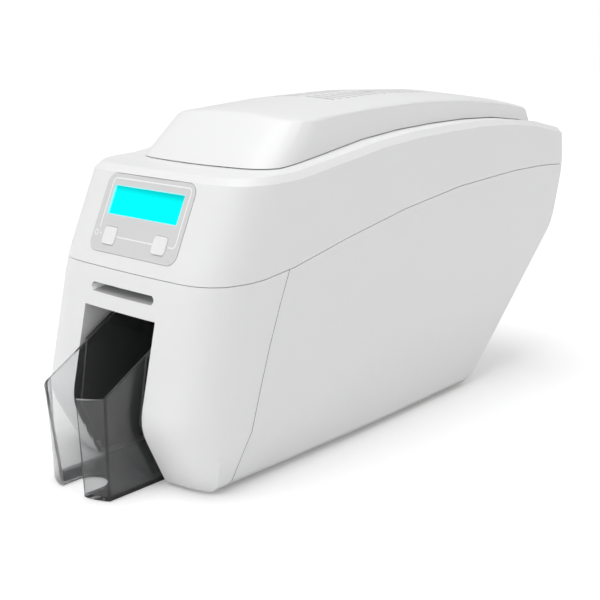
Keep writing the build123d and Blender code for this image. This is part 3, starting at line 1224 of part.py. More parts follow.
SPOOL_GEAR_X = CASSETTE_X + CASSETTE_THICK + SLIDE_GAP
keep("supply_spool", spool(SUPPLY_ROLL_R, SUPPLY_Y, SUPPLY_Z, SPOOL_GEAR_X))
takeup = spool(TAKEUP_ROLL_R, TAKEUP_Y, TAKEUP_Z, SPOOL_GEAR_X + SPUR_WIDTH)
MESH_ANGLE = pi + pi / 4
keep("takeup_spool", takeup + gear(SPOOL_TEETH, JOURNAL_R / 2, SPOOL_GEAR_X, SPUR_WIDTH, TAKEUP_Y, TAKEUP_Z,
                                   MESH_ANGLE))
keep("takeup_pinion", gear(PINION_TEETH, MOTOR_SHAFT_R + RUN_GAP, SPOOL_GEAR_X, SPUR_WIDTH, RIBBON_MOTOR_Y,
                           RIBBON_MOTOR_Z, MESH_ANGLE + pi + half_pinion_tooth))


def takeup_motor():
    motor = bar(RIBBON_MOTOR_R, FRAME_OUTER_X, FRAME_OUTER_X + MOTOR_LENGTH, RIBBON_MOTOR_Y, RIBBON_MOTOR_Z,
                WHEEL_SIDES)
    motor = chamfer(motor.faces().sort_by(Axis.X)[-1].edges(), 1.0)
    return motor + bar(MOTOR_SHAFT_R, SPOOL_GEAR_X, FRAME_OUTER_X, RIBBON_MOTOR_Y, RIBBON_MOTOR_Z)


keep("takeup_motor", takeup_motor())


def tangent_point(centre, r, other, side):
    """Where a line from another point touches a circle, on one side of it."""
    dy = other[0] - centre[0]
    dz = other[1] - centre[1]
    reach = hypot(dy, dz)
    angle = atan2(dz, dy) + side * acos(r / reach)
    return (centre[0] + r * cos(angle), centre[1] + r * sin(angle))


def ribbon_film():
    """Thin film from the supply roll, under the rear bar, the head and the front bar, to the take-up roll."""
    off = FILM_THICK / 2
    nip = (PLATEN_Y, PATH_Z + CARD_THICK + FACE_GAP / 2)
    route = [nip]
    for sign, bar_y, roll, roll_r in ((1, BAR_REAR_Y, (SUPPLY_Y, SUPPLY_Z), SUPPLY_ROLL_R),
                                      (-1, BAR_FRONT_Y, (TAKEUP_Y, TAKEUP_Z), TAKEUP_ROLL_R)):
        bar_r = GUIDE_BAR_R + FACE_GAP + off
        low = tangent_point((bar_y, GUIDE_BAR_Z), bar_r, nip, sign)
        wound = tangent_point(roll, roll_r + SLIDE_GAP + off, low, sign)
        route = route + [low, wound] if sign > 0 else [wound, low] + route
    lower = [(y, z - off) for y, z in route]
    upper = [(y, z + off) for y, z in reversed(route)]
    return side_prism(make_face(Polyline(*lower, *upper, close=True)), -FILM_HALF_W, FILM_HALF_W)


keep("ribbon_film", ribbon_film())


# Print head, its finned heatsink and the bracket that hangs them from the lid

HEAD_TIP_Z = PATH_Z + CARD_THICK + 2 * FILM_THICK + FACE_GAP + SLIDE_GAP
HEATSINK_LOW_Z = HEAD_TIP_Z + HEAD_HEIGHT
HEATSINK_TOP_Z = HEATSINK_LOW_Z + HEATSINK_HEIGHT
tip = Polyline((PLATEN_Y - 0.8, HEAD_TIP_Z), (PLATEN_Y + 0.8, HEAD_TIP_Z),
               (PLATEN_Y + HEAD_HALF, HEATSINK_LOW_Z - 3),
               (PLATEN_Y + HEAD_HALF, HEATSINK_LOW_Z), (PLATEN_Y - HEAD_HALF, HEATSINK_LOW_Z),
               (PLATEN_Y - HEAD_HALF, HEATSINK_LOW_Z - 3), close=True)
keep("print_head", side_prism(make_face(tip), -HEAD_HALF_W, HEAD_HALF_W))


def head_heatsink():
    plate = block(-HEAD_HALF_W, HEAD_HALF_W, PLATEN_Y - HEATSINK_HALF, PLATEN_Y + HEATSINK_HALF,
                  HEATSINK_LOW_Z,
                  HEATSINK_LOW_Z + 4)
    pitch = (2 * HEATSINK_HALF - FIN_THICK) / (FIN_COUNT - 1)
    for k in range(FIN_COUNT):
        y = PLATEN_Y - HEATSINK_HALF + k * pitch
        plate = plate + block(-HEAD_HALF_W, HEAD_HALF_W, y, y + FIN_THICK, HEATSINK_LOW_Z + 4, HEATSINK_TOP_Z)
    return plate


keep("head_heatsink", head_heatsink())


def head_bracket():
    """Bent sheet: a plate under the lid's screw columns, with a leg down to each end of the heatsink."""
    top = block(-HEAD_COLUMN_X - 8, HEAD_COLUMN_X + 8, PLATEN_Y - BRACKET_HALF, PLATEN_Y + BRACKET_HALF,
                HEAD_COLUMN_Z - FRAME_THICK, HEAD_COLUMN_Z)
    leg = Polyline((PLATEN_Y - BRACKET_HALF, HEAD_COLUMN_Z), (PLATEN_Y + BRACKET_HALF, HEAD_COLUMN_Z),
                   (PLATEN_Y + HEAD_HALF + 2, HEATSINK_TOP_Z), (PLATEN_Y + HEAD_HALF + 2, HEATSINK_LOW_Z + 2),
                   (PLATEN_Y - HEAD_HALF - 2, HEATSINK_LOW_Z + 2), (PLATEN_Y - HEAD_HALF - 2,
                                                                    HEATSINK_TOP_Z), close=True)
    return top + both_sides(side_prism(make_face(leg), HEAD_HALF_W, HEAD_HALF_W + FRAME_THICK))


keep("head_bracket", head_bracket())

hinge_pin = rod(HINGE_PIN_R, HINGE_X - KNUCKLE_FAR, HINGE_X + KNUCKLE_FAR, HINGE_Y, HINGE_Z)
keep("lid_hinge_pins", hinge_pin, mirror(hinge_pin, about=Plane.YZ))


# Boards: the main board outside the left frame, and the interface board behind the sockets

BOARD_X = -FRAME_OUTER_X - STANDOFF_LENGTH


def main_board():
    board = block(BOARD_X - BOARD_THICK, BOARD_X, BOARD_FRONT_Y, BOARD_REAR_Y, BOARD_LOW_Z, BOARD_HIGH_Z)
    face = BOARD_X - BOARD_THICK
    for y, z, width, height, tall in CHIPS:
        board = board + block(face - tall, face, y - width / 2, y + width / 2, z - height / 2, z + height / 2)
    for y in (BOARD_REAR_Y - 32, BOARD_REAR_Y - 18):
        board = board + bar(CAPACITOR_R, face - CAPACITOR_TALL, face, y, BOARD_LOW_Z + 22)
    return board


keep("main_board", main_board())
STANDOFF_PLACES = [(y, z) for y in (BOARD_FRONT_Y + 6, BOARD_REAR_Y - 6)
                   for z in (BOARD_LOW_Z + 6, BOARD_HIGH_Z - 6)]
standoffs = [side_prism(Pos(y, z) * RegularPolygon(STANDOFF_R, 6), BOARD_X, -FRAME_OUTER_X)
             for y, z in STANDOFF_PLACES]
keep("board_standoffs", *standoffs)

SOCKETS = (POWER_PLACE, USB_PLACE, NETWORK_PLACE)
SOCKET_BACK = -SOCKET_DEPTH
board_x0 = min(x - width / 2 for x, up, width, height in SOCKETS) - 3
board_x1 = max(x + width / 2 for x, up, width, height in SOCKETS) + 3
board_up = SOCKETS[0][1]
outline = Pos((board_x0 + board_x1) / 2, board_up) * Rectangle(board_x1 - board_x0, BOARD_STRIP)
keep("interface_board", on_rear(outline, SOCKET_BACK, SOCKET_BACK - BOARD_THICK))


def socket_shell(place):
    x, up, width, height = place
    return on_rear(Pos(x, up) * Rectangle(width, height), SOCKET_PROUD, SOCKET_BACK)


def power_inlet():
    at = Pos(POWER_PLACE[0], POWER_PLACE[1])
    socket = socket_shell(POWER_PLACE) - on_rear(at * RegularPolygon(4.2, WHEEL_SIDES), SOCKET_PROUD + 1,
                                                 -9.0)
    for x, up in ((-1.6, -1.6), (1.6, -1.6), (-1.6, 1.6), (1.6, 1.6)):
        socket = socket + on_rear(at * Pos(x, up) * RegularPolygon(0.5, 6), -2.5, -9.5)
    return socket


keep("power_inlet", power_inlet())


def usb_socket():
    at = Pos(USB_PLACE[0], USB_PLACE[1])
    opening = at * make_face(Polyline((-4.2, -3.9), (4.2, -3.9), (4.2, 2.2), (2.6, 3.9), (-2.6, 3.9),
                                      (-4.2, 2.2),
                                      close=True))
    socket = socket_shell(USB_PLACE) - on_rear(opening, SOCKET_PROUD + 1, -9.0)
    return socket + on_rear(at * Rectangle(5.6, 3.2), -1.0, -9.5)


keep("usb_socket", usb_socket())


def network_socket():
    at = Pos(NETWORK_PLACE[0], NETWORK_PLACE[1])
    opening = at * (Rectangle(11.8, 7.6) + Pos(0, -4.8) * Rectangle(6.0, 2.4))
    socket = socket_shell(NETWORK_PLACE) - on_rear(opening, SOCKET_PROUD + 1, -10.0)
    for k in range(8):
        socket = socket + on_rear(at * Pos((k - 3.5) * 1.1, 2.9) * Rectangle(0.4, 1.9), -1.5, -10.5)
    return socket


keep("network_socket", network_socket())


# Power switch: a rocker on two stub pins in a flanged housing

SWITCH_AT = Pos(SWITCH_PLACE[0], SWITCH_PLACE[1])


def switch_housing():
    width, height = SWITCH_PLACE[2:]
    body = on_rear(SWITCH_AT * Rectangle(width, height), 0.0, -SOCKET_DEPTH)
    body = body + on_rear(SWITCH_AT * RectangleRounded(width + 4, height + 4, 1.5), SWITCH_RIM, 0.0)
    body = body - on_rear(SWITCH_AT * Rectangle(ROCKER_W + 2 * SLIDE_GAP, height - 2 * SWITCH_WALL), 3.0,
                          -SOCKET_DEPTH + 1.5)
    return body - rocker_rod(ROCKER_PIN_R + RUN_GAP, ROCKER_W / 2 + 1.3)


def rocker_rod(r, half):
    """Round bar along the rocker's axis."""
    bar = Pos(0, 0, -ROCKER_PIVOT) * Rot(0, 90, 0) * Cylinder(r, 2 * half)
    return REAR_PLANE * (SWITCH_AT * bar)


def power_switch():
    tall = ROCKER_HALF_H
    outline = make_face(Polyline((-tall, 2.6), (0, 1.3), (tall, 2.6), (tall, -1.5), (3, -5.5), (-3, -5.5),
                                 (-tall, -1.5),
                                 close=True))
    rocker = side_prism(outline, -ROCKER_W / 2, ROCKER_W / 2)
    return REAR_PLANE * (SWITCH_AT * rocker) + rocker_rod(ROCKER_PIN_R, ROCKER_W / 2 + 1.2)


keep("switch_housing", switch_housing())
keep("power_switch", power_switch())


# Cooling fan behind the rear slots

FAN_AT = Pos(FAN_X, FAN_UP)
FAN_FACE = -SKIN - FACE_GAP
FAN_BACK = FAN_FACE - FAN_DEPTH
HUB_FACE = FAN_FACE - 1.0
HUB_BACK = FAN_BACK + 1.2 + SLIDE_GAP


def cooling_fan():
    fan = on_rear(FAN_AT * clipped_rectangle(FAN_SIDE, FAN_SIDE, 3.0), FAN_FACE, FAN_BACK)
    fan = fan - on_rear(FAN_AT * hole(FAN_BORE_R, ROLL_SIDES), FAN_FACE + 1, FAN_BACK - 1)
    spider = on_rear(FAN_AT * RegularPolygon(FAN_HUB_R, WHEEL_SIDES), FAN_BACK + 1.2, FAN_BACK)
    for turn in (45, 135):
        spider = spider + on_rear(FAN_AT * Rot(0, 0, turn) * Rectangle(2 * FAN_BORE_R + 2, 2.4),
                                  FAN_BACK + 1.2, FAN_BACK)
    spindle = on_rear(FAN_AT * RegularPolygon(FAN_PIN_R, BAR_SIDES), HUB_FACE - 2.0, FAN_BACK + 0.6)
    return fan + spider + spindle


keep("cooling_fan", cooling_fan())


def fan_rotor():
    rotor = on_rear(FAN_AT * RegularPolygon(FAN_HUB_R, 2 * FAN_BLADES), HUB_FACE, HUB_BACK)
    middle = (HUB_FACE + HUB_BACK) / 2
    reach = FAN_BORE_R - 0.6 - FAN_HUB_R + 1.0
    blade = Pos(FAN_HUB_R - 1.0 + reach / 2, 0, 0) * Rot(FAN_PITCH, 0, 0) * Box(reach, FAN_CHORD, 0.8)
    for k in range(FAN_BLADES):
        turned = Pos(0, 0, middle) * Rot(0, 0, 360 * k / FAN_BLADES) * blade
        rotor = rotor + REAR_PLANE * (FAN_AT * turned)
    return rotor - on_rear(FAN_AT * Circle(FAN_PIN_R + RUN_GAP), HUB_FACE - 1.5, HUB_BACK - 1)


keep("fan_rotor", fan_rotor())


# Writing the pieces, moved so that the origin is the middle of the footprint

FRONT_END = min(solid.bounding_box().min.Y for solids in PIECES.values() for solid in solids)
REAR_END = max(solid.bounding_box().max.Y for solids in PIECES.values() for solid in solids)
SHIFT_Y = -(FRONT_END + REAR_END) / 2
for name, solids in PIECES.items():
    placed = [solid.moved(Location((0, SHIFT_Y, 0))) for solid in solids]
    whole = placed[0] if len(placed) == 1 else Compound(placed)
    export_step(whole, os.path.join("parts", name + ".step"))
print("moved by", round(SHIFT_Y, 4), "mm in Y")
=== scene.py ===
import bmesh
import bpy
import json
from math import hypot, radians
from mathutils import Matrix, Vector

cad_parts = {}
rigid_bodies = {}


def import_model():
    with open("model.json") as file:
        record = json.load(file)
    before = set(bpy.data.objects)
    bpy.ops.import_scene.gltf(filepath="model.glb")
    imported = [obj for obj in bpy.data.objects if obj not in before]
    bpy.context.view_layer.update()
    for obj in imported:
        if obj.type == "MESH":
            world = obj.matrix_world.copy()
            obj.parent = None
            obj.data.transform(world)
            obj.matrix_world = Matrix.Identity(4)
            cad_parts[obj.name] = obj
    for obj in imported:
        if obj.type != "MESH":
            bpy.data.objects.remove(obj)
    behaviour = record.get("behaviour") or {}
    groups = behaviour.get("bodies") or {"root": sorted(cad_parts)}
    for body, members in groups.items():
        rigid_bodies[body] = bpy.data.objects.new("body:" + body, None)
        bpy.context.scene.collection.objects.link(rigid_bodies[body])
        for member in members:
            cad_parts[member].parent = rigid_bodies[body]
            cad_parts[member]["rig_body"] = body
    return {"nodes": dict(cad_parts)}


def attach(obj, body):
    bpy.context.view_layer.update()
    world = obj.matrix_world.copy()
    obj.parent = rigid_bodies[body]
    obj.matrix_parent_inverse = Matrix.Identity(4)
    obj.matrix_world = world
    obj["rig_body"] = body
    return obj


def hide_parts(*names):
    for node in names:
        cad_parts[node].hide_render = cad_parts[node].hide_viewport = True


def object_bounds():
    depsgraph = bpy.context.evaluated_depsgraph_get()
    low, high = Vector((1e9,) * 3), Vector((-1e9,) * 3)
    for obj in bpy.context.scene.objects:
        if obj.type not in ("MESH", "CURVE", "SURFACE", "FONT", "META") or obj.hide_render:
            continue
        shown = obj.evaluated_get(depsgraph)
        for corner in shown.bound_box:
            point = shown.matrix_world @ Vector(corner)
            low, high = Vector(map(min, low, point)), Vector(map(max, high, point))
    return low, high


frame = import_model()
cad_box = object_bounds()


# Camera
# The printer is photographed from its front right corner, a little above the display, with a long
# lens that keeps the rear end nearly as tall as the front.
camera = bpy.data.objects.new("camera", bpy.data.cameras.new("camera"))
camera.data.sensor_width = 36.0
camera.data.lens = 62.04
camera.location = (0.53828, -0.604257, 0.29846)
camera.rotation_euler = (radians(75.31), 0.0, radians(42.22))
bpy.context.scene.collection.objects.link(camera)
bpy.context.scene.camera = camera
bpy.context.scene.view_settings.view_transform = "Standard"


# Studio table and light
# A seamless white table under a soft sky. A wide lamp high in front and a little to the left leaves
# the right-hand side in light shade, and a weak one fills in from the front.
MM = 0.001
WHITE = (1.0, 1.0, 1.0, 1.0)


class Shade:
    """The output of a shader node. Sums and products of shades add Math nodes."""

    def __init__(self, finish, socket):
        self.finish = finish
        self.socket = socket

    def maths(self, operation, *terms):
        return self.finish.node("ShaderNodeMath", {"operation": operation}, dict(enumerate(terms)))

    def __add__(self, other):
        return self.maths("ADD", self, other)

    def __sub__(self, other):
        return self.maths("SUBTRACT", self, other)

    def __rsub__(self, other):
        return self.maths("SUBTRACT", other, self)

    def __mul__(self, other):
        return self.maths("MULTIPLY", self, other)

    def __truediv__(self, other):
        return self.maths("DIVIDE", self, other)

    def __abs__(self):
        return self.maths("ABSOLUTE", self)

    def __mod__(self, other):
        return self.maths("FLOORED_MODULO", self, other)

    def __pow__(self, other):
        return self.maths("POWER", self, other)

    __radd__ = __add__
    __rmul__ = __mul__

    def larger(self, other):
        return self.maths("MAXIMUM", self, other)

    def smaller(self, other):
        return self.maths("MINIMUM", self, other)

    def between(self, low, high, start=0.0, end=1.0):
        """Runs from start at low to end at high, and stays there outside."""
        return self.finish.node("ShaderNodeMapRange", {"interpolation_type": "SMOOTHSTEP"},
                                {0: self, 1: low, 2: high, 3: start, 4: end})


class Finish:
    """The nodes of one material or of the world, all made by node()."""

    def __init__(self, name, owners=bpy.data.materials):
        self.owner = owners.new(name)
        self.owner.use_nodes = True
        self.tree = self.owner.node_tree

    def node(self, kind, settings=None, sockets=None, output=0):
        made = self.tree.nodes.new(kind)
        for name, value in (settings or {}).items():
            if name == "stops":
                for place, colour in value[1:-1]:
                    made.color_ramp.elements.new(place)
                for stop, (place, colour) in zip(made.color_ramp.elements, value):
                    stop.position = place
                    stop.color = (*colour, 1.0)
            else:
                setattr(made, name, value)
        self.fill(made, sockets or {})
        return Shade(self, made.outputs[output])

    def fill(self, node, sockets):
        for name, value in sockets.items():
            if isinstance(value, Shade):
                self.tree.links.new(value.socket, node.inputs[name])
            else:
                node.inputs[name].default_value = value

    def surface(self, sockets):
        self.fill(self.tree.nodes["Principled BSDF"], sockets)

    def place(self):
        return self.node("ShaderNodeTexCoord", output="Object")

    def noise(self, scale, detail, vector=None):
        sockets = {"Vector": vector or self.place(), "Scale": scale, "Detail": detail}
        return self.node("ShaderNodeTexNoise", {}, sockets, "Fac")

    def tones(self, amount, first, second):
        """Mix of two tones, by an amount from 0 to 1. Each tone is a colour or the output of a node."""
        first, second = (tone if isinstance(tone, Shade) else (*tone, 1.0) for tone in (first, second))
        return self.node("ShaderNodeMix", {"data_type": "RGBA"}, {"Factor": amount, 6: first, 7: second}, 2)

    def waves(self, direction, scale, distortion=0.0, detail=2.0):
        """Fine bands across one axis, for turned rings, wound layers and belt teeth."""
        sockets = {"Vector": self.place(), "Scale": scale, "Distortion": distortion, "Detail": detail}
        return self.node("ShaderNodeTexWave", {"bands_direction": direction}, sockets, "Fac")

    def along(self, direction, middle=(0.0, 0.0, 0.0)):
        """How far a point of the piece lies from a middle along a direction, in millimetres."""
        offset = self.node("ShaderNodeVectorMath", {"operation": "SUBTRACT"}, {0: self.place(), 1: middle})
        scaled = Vector(direction).normalized() * 1000.0
        return self.node("ShaderNodeVectorMath", {"operation": "DOT_PRODUCT"},
                         {0: offset, 1: scaled}, "Value")

    def relief(self, height, depth, strength=1.0):
        return self.node("ShaderNodeBump", {}, {"Height": height, "Distance": depth, "Strength": strength})


TABLE_REACH = 6.0
TABLE_WHITE = 0.93
TABLE_SEEN = 1.14
TABLE_GLOW = 0.18
table_form = bmesh.new()
bmesh.ops.create_grid(table_form, x_segments=1, y_segments=1, size=TABLE_REACH)
bmesh.ops.translate(table_form, verts=table_form.verts, vec=(0.0, 0.0, cad_box[0].z))
table_mesh = bpy.data.meshes.new("table")
table_form.to_mesh(table_mesh)
table_form.free()
table = bpy.data.objects.new("table", table_mesh)
bpy.context.scene.collection.objects.link(table)

table_white = Finish("table_white")
table_eye = table_white.node("ShaderNodeLightPath", output="Is Camera Ray")
table_white.surface({"Base Color": table_white.tones(table_eye, [TABLE_WHITE] * 3, [TABLE_SEEN] * 3),
                     "Roughness": 0.9, "Specular IOR Level": 0.0})
table_glow = table_white.node("ShaderNodeEmission", sockets={"Color": WHITE, "Strength": 1.0})
table_matt = Shade(table_white, table_white.tree.nodes["Principled BSDF"].outputs[0])
table_mix = table_white.node("ShaderNodeMixShader", {},
                             {0: table_eye * TABLE_GLOW, 1: table_matt, 2: table_glow})
table_white.fill(table_white.tree.nodes["Material Output"], {"Surface": table_mix})
table_mesh.materials.append(table_white.owner)

SKY_LEVEL = 0.515
sky = Finish("studio", bpy.data.worlds)
bpy.context.scene.world = sky.owner
to_eye = sky.node("ShaderNodeLightPath", output="Is Camera Ray")
through_clear = sky.node("ShaderNodeLightPath", output="Is Transmission Ray")
level = sky.node("ShaderNodeMapRange", {},
                 {"Value": to_eye.larger(through_clear), "To Min": SKY_LEVEL, "To Max": 1.0})
sky.fill(sky.tree.nodes["Background"], {"Color": WHITE, "Strength": level})


def lamp(name, towards, strength, spread):
    """A sun lamp that shines along a direction, with soft shadows."""
    light = bpy.data.lights.new(name, "SUN")
    light.energy = strength
    light.angle = radians(spread)
    made = bpy.data.objects.new(name, light)
    made.rotation_mode = "QUATERNION"
    made.rotation_quaternion = Vector(towards).to_track_quat("-Z", "Y")
    bpy.context.scene.collection.objects.link(made)


lamp("lamp_high", towards=(0.10, 0.22, -0.97), strength=1.6, spread=50.0)
lamp("lamp_front", towards=(0.10, 0.95, -0.25), strength=0.16, spread=80.0)


# Base pan and feet
# The shallow pan under the printer is moulded in warm pale grey plastic, and shows as a thin line
# below the sides. Four soft rubber feet are pushed into its underside.
WELD = 0.004 * MM
FLAT_ANGLE = 0.3


def welded(node, crease):
    """A copy of a CAD node's mesh with its loose triangles joined and its round faces shaded smooth."""
    form = bmesh.new()
    form.from_mesh(frame["nodes"][node].data)
    bmesh.ops.remove_doubles(form, verts=form.verts, dist=WELD)
    bmesh.ops.dissolve_limit(form, angle_limit=radians(FLAT_ANGLE), verts=form.verts, edges=form.edges)
    for face in form.faces:
        face.smooth = True
        face.material_index = 0
    for edge in form.edges:
        edge.smooth = edge.is_manifold and edge.calc_face_angle() < radians(crease)
    return form


def piece(name, form, finishes, body, slot, *nodes):
    """Makes a piece from a finished form, with its materials, its body and the CAD nodes it stands for."""
    mesh = bpy.data.meshes.new(name)
    form.to_mesh(mesh)
    form.free()
    if "custom_normal" in mesh.attributes:
        mesh.attributes.remove(mesh.attributes["custom_normal"])
    for finish in finishes:
        mesh.materials.append(finish.owner)
    made = bpy.data.objects.new(name, mesh)
    bpy.context.scene.collection.objects.link(made)
    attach(made, body)
    if nodes:
        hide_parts(*nodes)
    return made


def moulding(node, finish, slot, *others, crease=30.0):
    """A smooth copy of a CAD node. Each of the others is a finish and a test for the faces that have it."""
    form = welded(node, crease)
    for index, (other, belongs) in enumerate(others, start=1):
        for face in form.faces:
            if belongs(face):
                face.material_index = index
    finishes = [finish] + [other for other, belongs in others]
    made = piece(node + "_moulding", form, finishes, frame["nodes"][node]["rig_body"], slot, node)
    even = made.modifiers.new("even", "WEIGHTED_NORMAL")
    even.keep_sharp = True


def plastic(name, colour, gloss, grain, depth, drift):
    """Moulded plastic: an even colour that drifts a little, and a fine spark-eroded grain."""
    made = Finish(name)
    broad = made.noise(14.0, 3.0)
    fine = made.noise(1.0 / grain, 2.0)
    darker = tuple(c * (1.0 - drift) for c in colour)
    made.surface({"Base Color": made.tones(broad, darker, colour),
                  "Roughness": (fine * 0.10) + (broad * 0.06) + (gloss - 0.08),
                  "Normal": made.relief(fine, depth)})
    return made


def rubber(name, colour, rough=0.85):
    """Moulded or ground rubber: matt, with a powdery bloom and fine pitting."""
    made = Finish(name)
    pits = made.noise(2200.0, 3.0)
    bloom = made.noise(90.0, 4.0)
    paler = tuple(c * 1.5 + 0.012 for c in colour)
    made.surface({"Base Color": made.tones(bloom.between(0.45, 0.75), colour, paler),
                  "Roughness": (bloom * 0.12) + (rough - 0.06),
                  "Normal": made.relief(pits, 0.00003)})
    return made


base_cream = plastic("base_cream", (0.66, 0.65, 0.62), 0.55, 0.0009, 0.00008, 0.10)
foot_rubber = rubber("foot_rubber", (0.030, 0.030, 0.031))
moulding("base_chassis", base_cream, "base_dark")
moulding("rubber_feet", foot_rubber, "foot_rubber")


# Side frames
# Two zinc-plated steel sides, punched and folded, stand on the pan. Steel rods tie them together,
# black screws hold them, and white acetal bushes carry the shafts.
def sheet_steel(name, colour):
    """Zinc-plated sheet: a pale crystalline spangle under a light brushed haze."""
    made = Finish(name)
    spangle = made.node("ShaderNodeTexVoronoi", {}, {"Vector": made.place(), "Scale": 260.0}, "Color")
    grey = made.node("ShaderNodeRGBToBW", {}, {"Color": spangle})
    haze = made.noise(60.0, 4.0)
    darker = tuple(c * 0.86 for c in colour)
    made.surface({"Base Color": made.tones((grey * 0.6) + (haze * 0.4), darker, colour), "Metallic": 1.0,
                  "Roughness": (grey * 0.10) + (haze * 0.14) + 0.26,
                  "Normal": made.relief(haze, 0.00005, 0.5)})
    return made


def turned_steel(name, colour, rough=0.22):
    """Ground or turned bar: fine rings round the bar and a few darker oily patches."""
    made = Finish(name)
    stretched = made.node("ShaderNodeMapping", {}, {"Vector": made.place(), "Scale": (3200.0, 60.0, 60.0)})
    rings = made.noise(1.0, 2.0, stretched)
    oil = made.noise(45.0, 3.0)
    darker = tuple(c * 0.80 for c in colour)
    made.surface({"Base Color": made.tones(oil, darker, colour), "Metallic": 1.0,
                  "Roughness": (rings * 0.12) + (oil * 0.08) + (rough - 0.1),
                  "Normal": made.relief(rings, 0.00001)})
    return made


frame_steel = sheet_steel("frame_steel", (0.62, 0.63, 0.64))
rod_steel = turned_steel("rod_steel", (0.66, 0.66, 0.67))
screw_black = turned_steel("screw_black", (0.10, 0.10, 0.105), 0.38)
acetal = plastic("acetal", (0.80, 0.80, 0.76), 0.35, 0.0006, 0.00001, 0.03)
moulding("side_frame_left", frame_steel, "frame_steel")
moulding("side_frame_right", frame_steel, "frame_steel")
moulding("cross_ties", rod_steel, "rod_steel")
moulding("frame_screws", screw_black, "screw_steel")
moulding("base_screws", screw_black, "screw_steel")
moulding("roller_bushes", acetal, "bush_plastic")


# Card path
# Ground rubber rollers on steel shafts carry the card along a black guide plate, and a tacky blue
# sleeve cleans it. A light flap behind the card slot drops finished cards into the tray.
X_AXIS = (1.0, 0.0, 0.0)
FRAME_X = 41.2 * MM
FLAP_ARM_X = 27.2 * MM
WORN_HALF_W = 22.0
WORN_FADE = 6.0

# TRAY_Y is where the card tray's front corners lie, in metres. Places along the printer are measured
# from there and from the table, in millimetres.
TRAY_Y = -0.2294765
FEED_Y = 100.0
TRANSPORT_Y = 190.0
PLATEN_Y = 235.0
EXIT_Y = 300.0
PICK_Y = 166.784
DRIVE_Z = 120.2
PINCH_Z = 135.0
CLEAN_Z = 137.0
PICK_Z = 110.4
SHAFT_R = 3.4
THIN_SHAFT_R = 2.4


def reach(face, y, z):
    """The farthest that a face lies from an axis across the printer, whose place is in millimetres."""
    middle_y = y * MM + TRAY_Y
    middle_z = z * MM
    return max(hypot(corner.co.y - middle_y, corner.co.z - middle_z) for corner in face.verts)


def inside(face, y, z, radius):
    """True for a face that lies wholly within a radius of an axis across the printer."""
    return reach(face, y, z) < radius * MM


def middle_x(face):
    return face.calc_center_median().x


def ground_rubber(name, colour):
    """Rubber sleeve, ground round: fine rings across it and a faint shine where cards have run."""
    made = rubber(name, colour, 0.70)
    rings = made.waves("X", 420.0, 0.4, 1.0)
    worn = (WORN_HALF_W - abs(made.along(X_AXIS))).between(0.0, WORN_FADE)
    made.surface({"Roughness": 0.74 - (worn * 0.14), "Normal": made.relief(rings, 0.00002)})
    return made


roller_rubber = ground_rubber("roller_rubber", (0.055, 0.055, 0.058))
clean_sleeve = ground_rubber("clean_sleeve", (0.05, 0.20, 0.46))
guide_black = plastic("guide_black", (0.028, 0.028, 0.030), 0.45, 0.0007, 0.00005, 0.12)
ROLLERS = (("feed_roller", roller_rubber, "roller_rubber", FEED_Y, DRIVE_Z, SHAFT_R),
           ("transport_roller", roller_rubber, "roller_rubber", TRANSPORT_Y, DRIVE_Z, SHAFT_R),
           ("platen_roller", roller_rubber, "roller_rubber", PLATEN_Y, DRIVE_Z, SHAFT_R),
           ("exit_roller", roller_rubber, "roller_rubber", EXIT_Y, DRIVE_Z, SHAFT_R),
           ("pinch_roller_front", roller_rubber, "roller_rubber", TRANSPORT_Y, PINCH_Z, THIN_SHAFT_R),
           ("pinch_roller_rear", roller_rubber, "roller_rubber", EXIT_Y, PINCH_Z, THIN_SHAFT_R),
           ("cleaning_roller", clean_sleeve, "clean_roller", FEED_Y, CLEAN_Z, SHAFT_R),
           ("pick_roller", roller_rubber, "roller_rubber", PICK_Y, PICK_Z, SHAFT_R))
for roller, sleeve, slot_name, shaft_y, shaft_z, shaft_r in ROLLERS:
    moulding(roller, sleeve, slot_name,
             (acetal, lambda face: abs(middle_x(face)) > FRAME_X),
             (rod_steel, lambda face: inside(face, shaft_y, shaft_z, shaft_r)))
moulding("card_guide", guide_black, "hopper_black")
moulding("card_flap", guide_black, "hopper_black",
         (rod_steel, lambda face: abs(middle_x(face)) > FLAP_ARM_X))


# Drive
# A square stepping motor with a laminated black stack between bright end caps turns the platen gear
# through a small pinion, and a toothed belt joins the rollers.
FEED_MOTOR_END_X = 42.6 * MM


def stack_metal(name, low_x, high_x):
    """A motor's body: fine dark laminations from one X to another, in millimetres, and cast end caps."""
    made = Finish(name)
    across = made.along(X_AXIS)
    stack = (across - low_x).between(0.0, 0.2) * (high_x - across).between(0.0, 0.2)
    sheets = abs(((across * 2.0) % 1.0) - 0.5)
    cast = made.noise(900.0, 3.0)
    made.surface({"Base Color": made.tones(stack, (0.58, 0.58, 0.59), (0.045, 0.045, 0.048)),
                  "Metallic": 0.9,
                  "Roughness": (stack * 0.15) + (cast * 0.16) + 0.22,
                  "Normal": made.relief((sheets * stack) + (cast * 0.3), 0.0001)})
    return made


belt_black = rubber("belt_black", (0.020, 0.020, 0.021), 0.66)
belt_black.surface({"Normal": belt_black.relief(belt_black.waves("Y", 160.0), 0.0006)})
feed_motor_metal = stack_metal("feed_motor_metal", 20.0, 35.0)
moulding("drive_belt", belt_black, "belt_rubber")
moulding("platen_gear", acetal, "gear_white")
moulding("motor_pinion", acetal, "gear_white")
moulding("drive_motor", feed_motor_metal, "motor_metal",
         (rod_steel, lambda face: middle_x(face) > FEED_MOTOR_END_X))


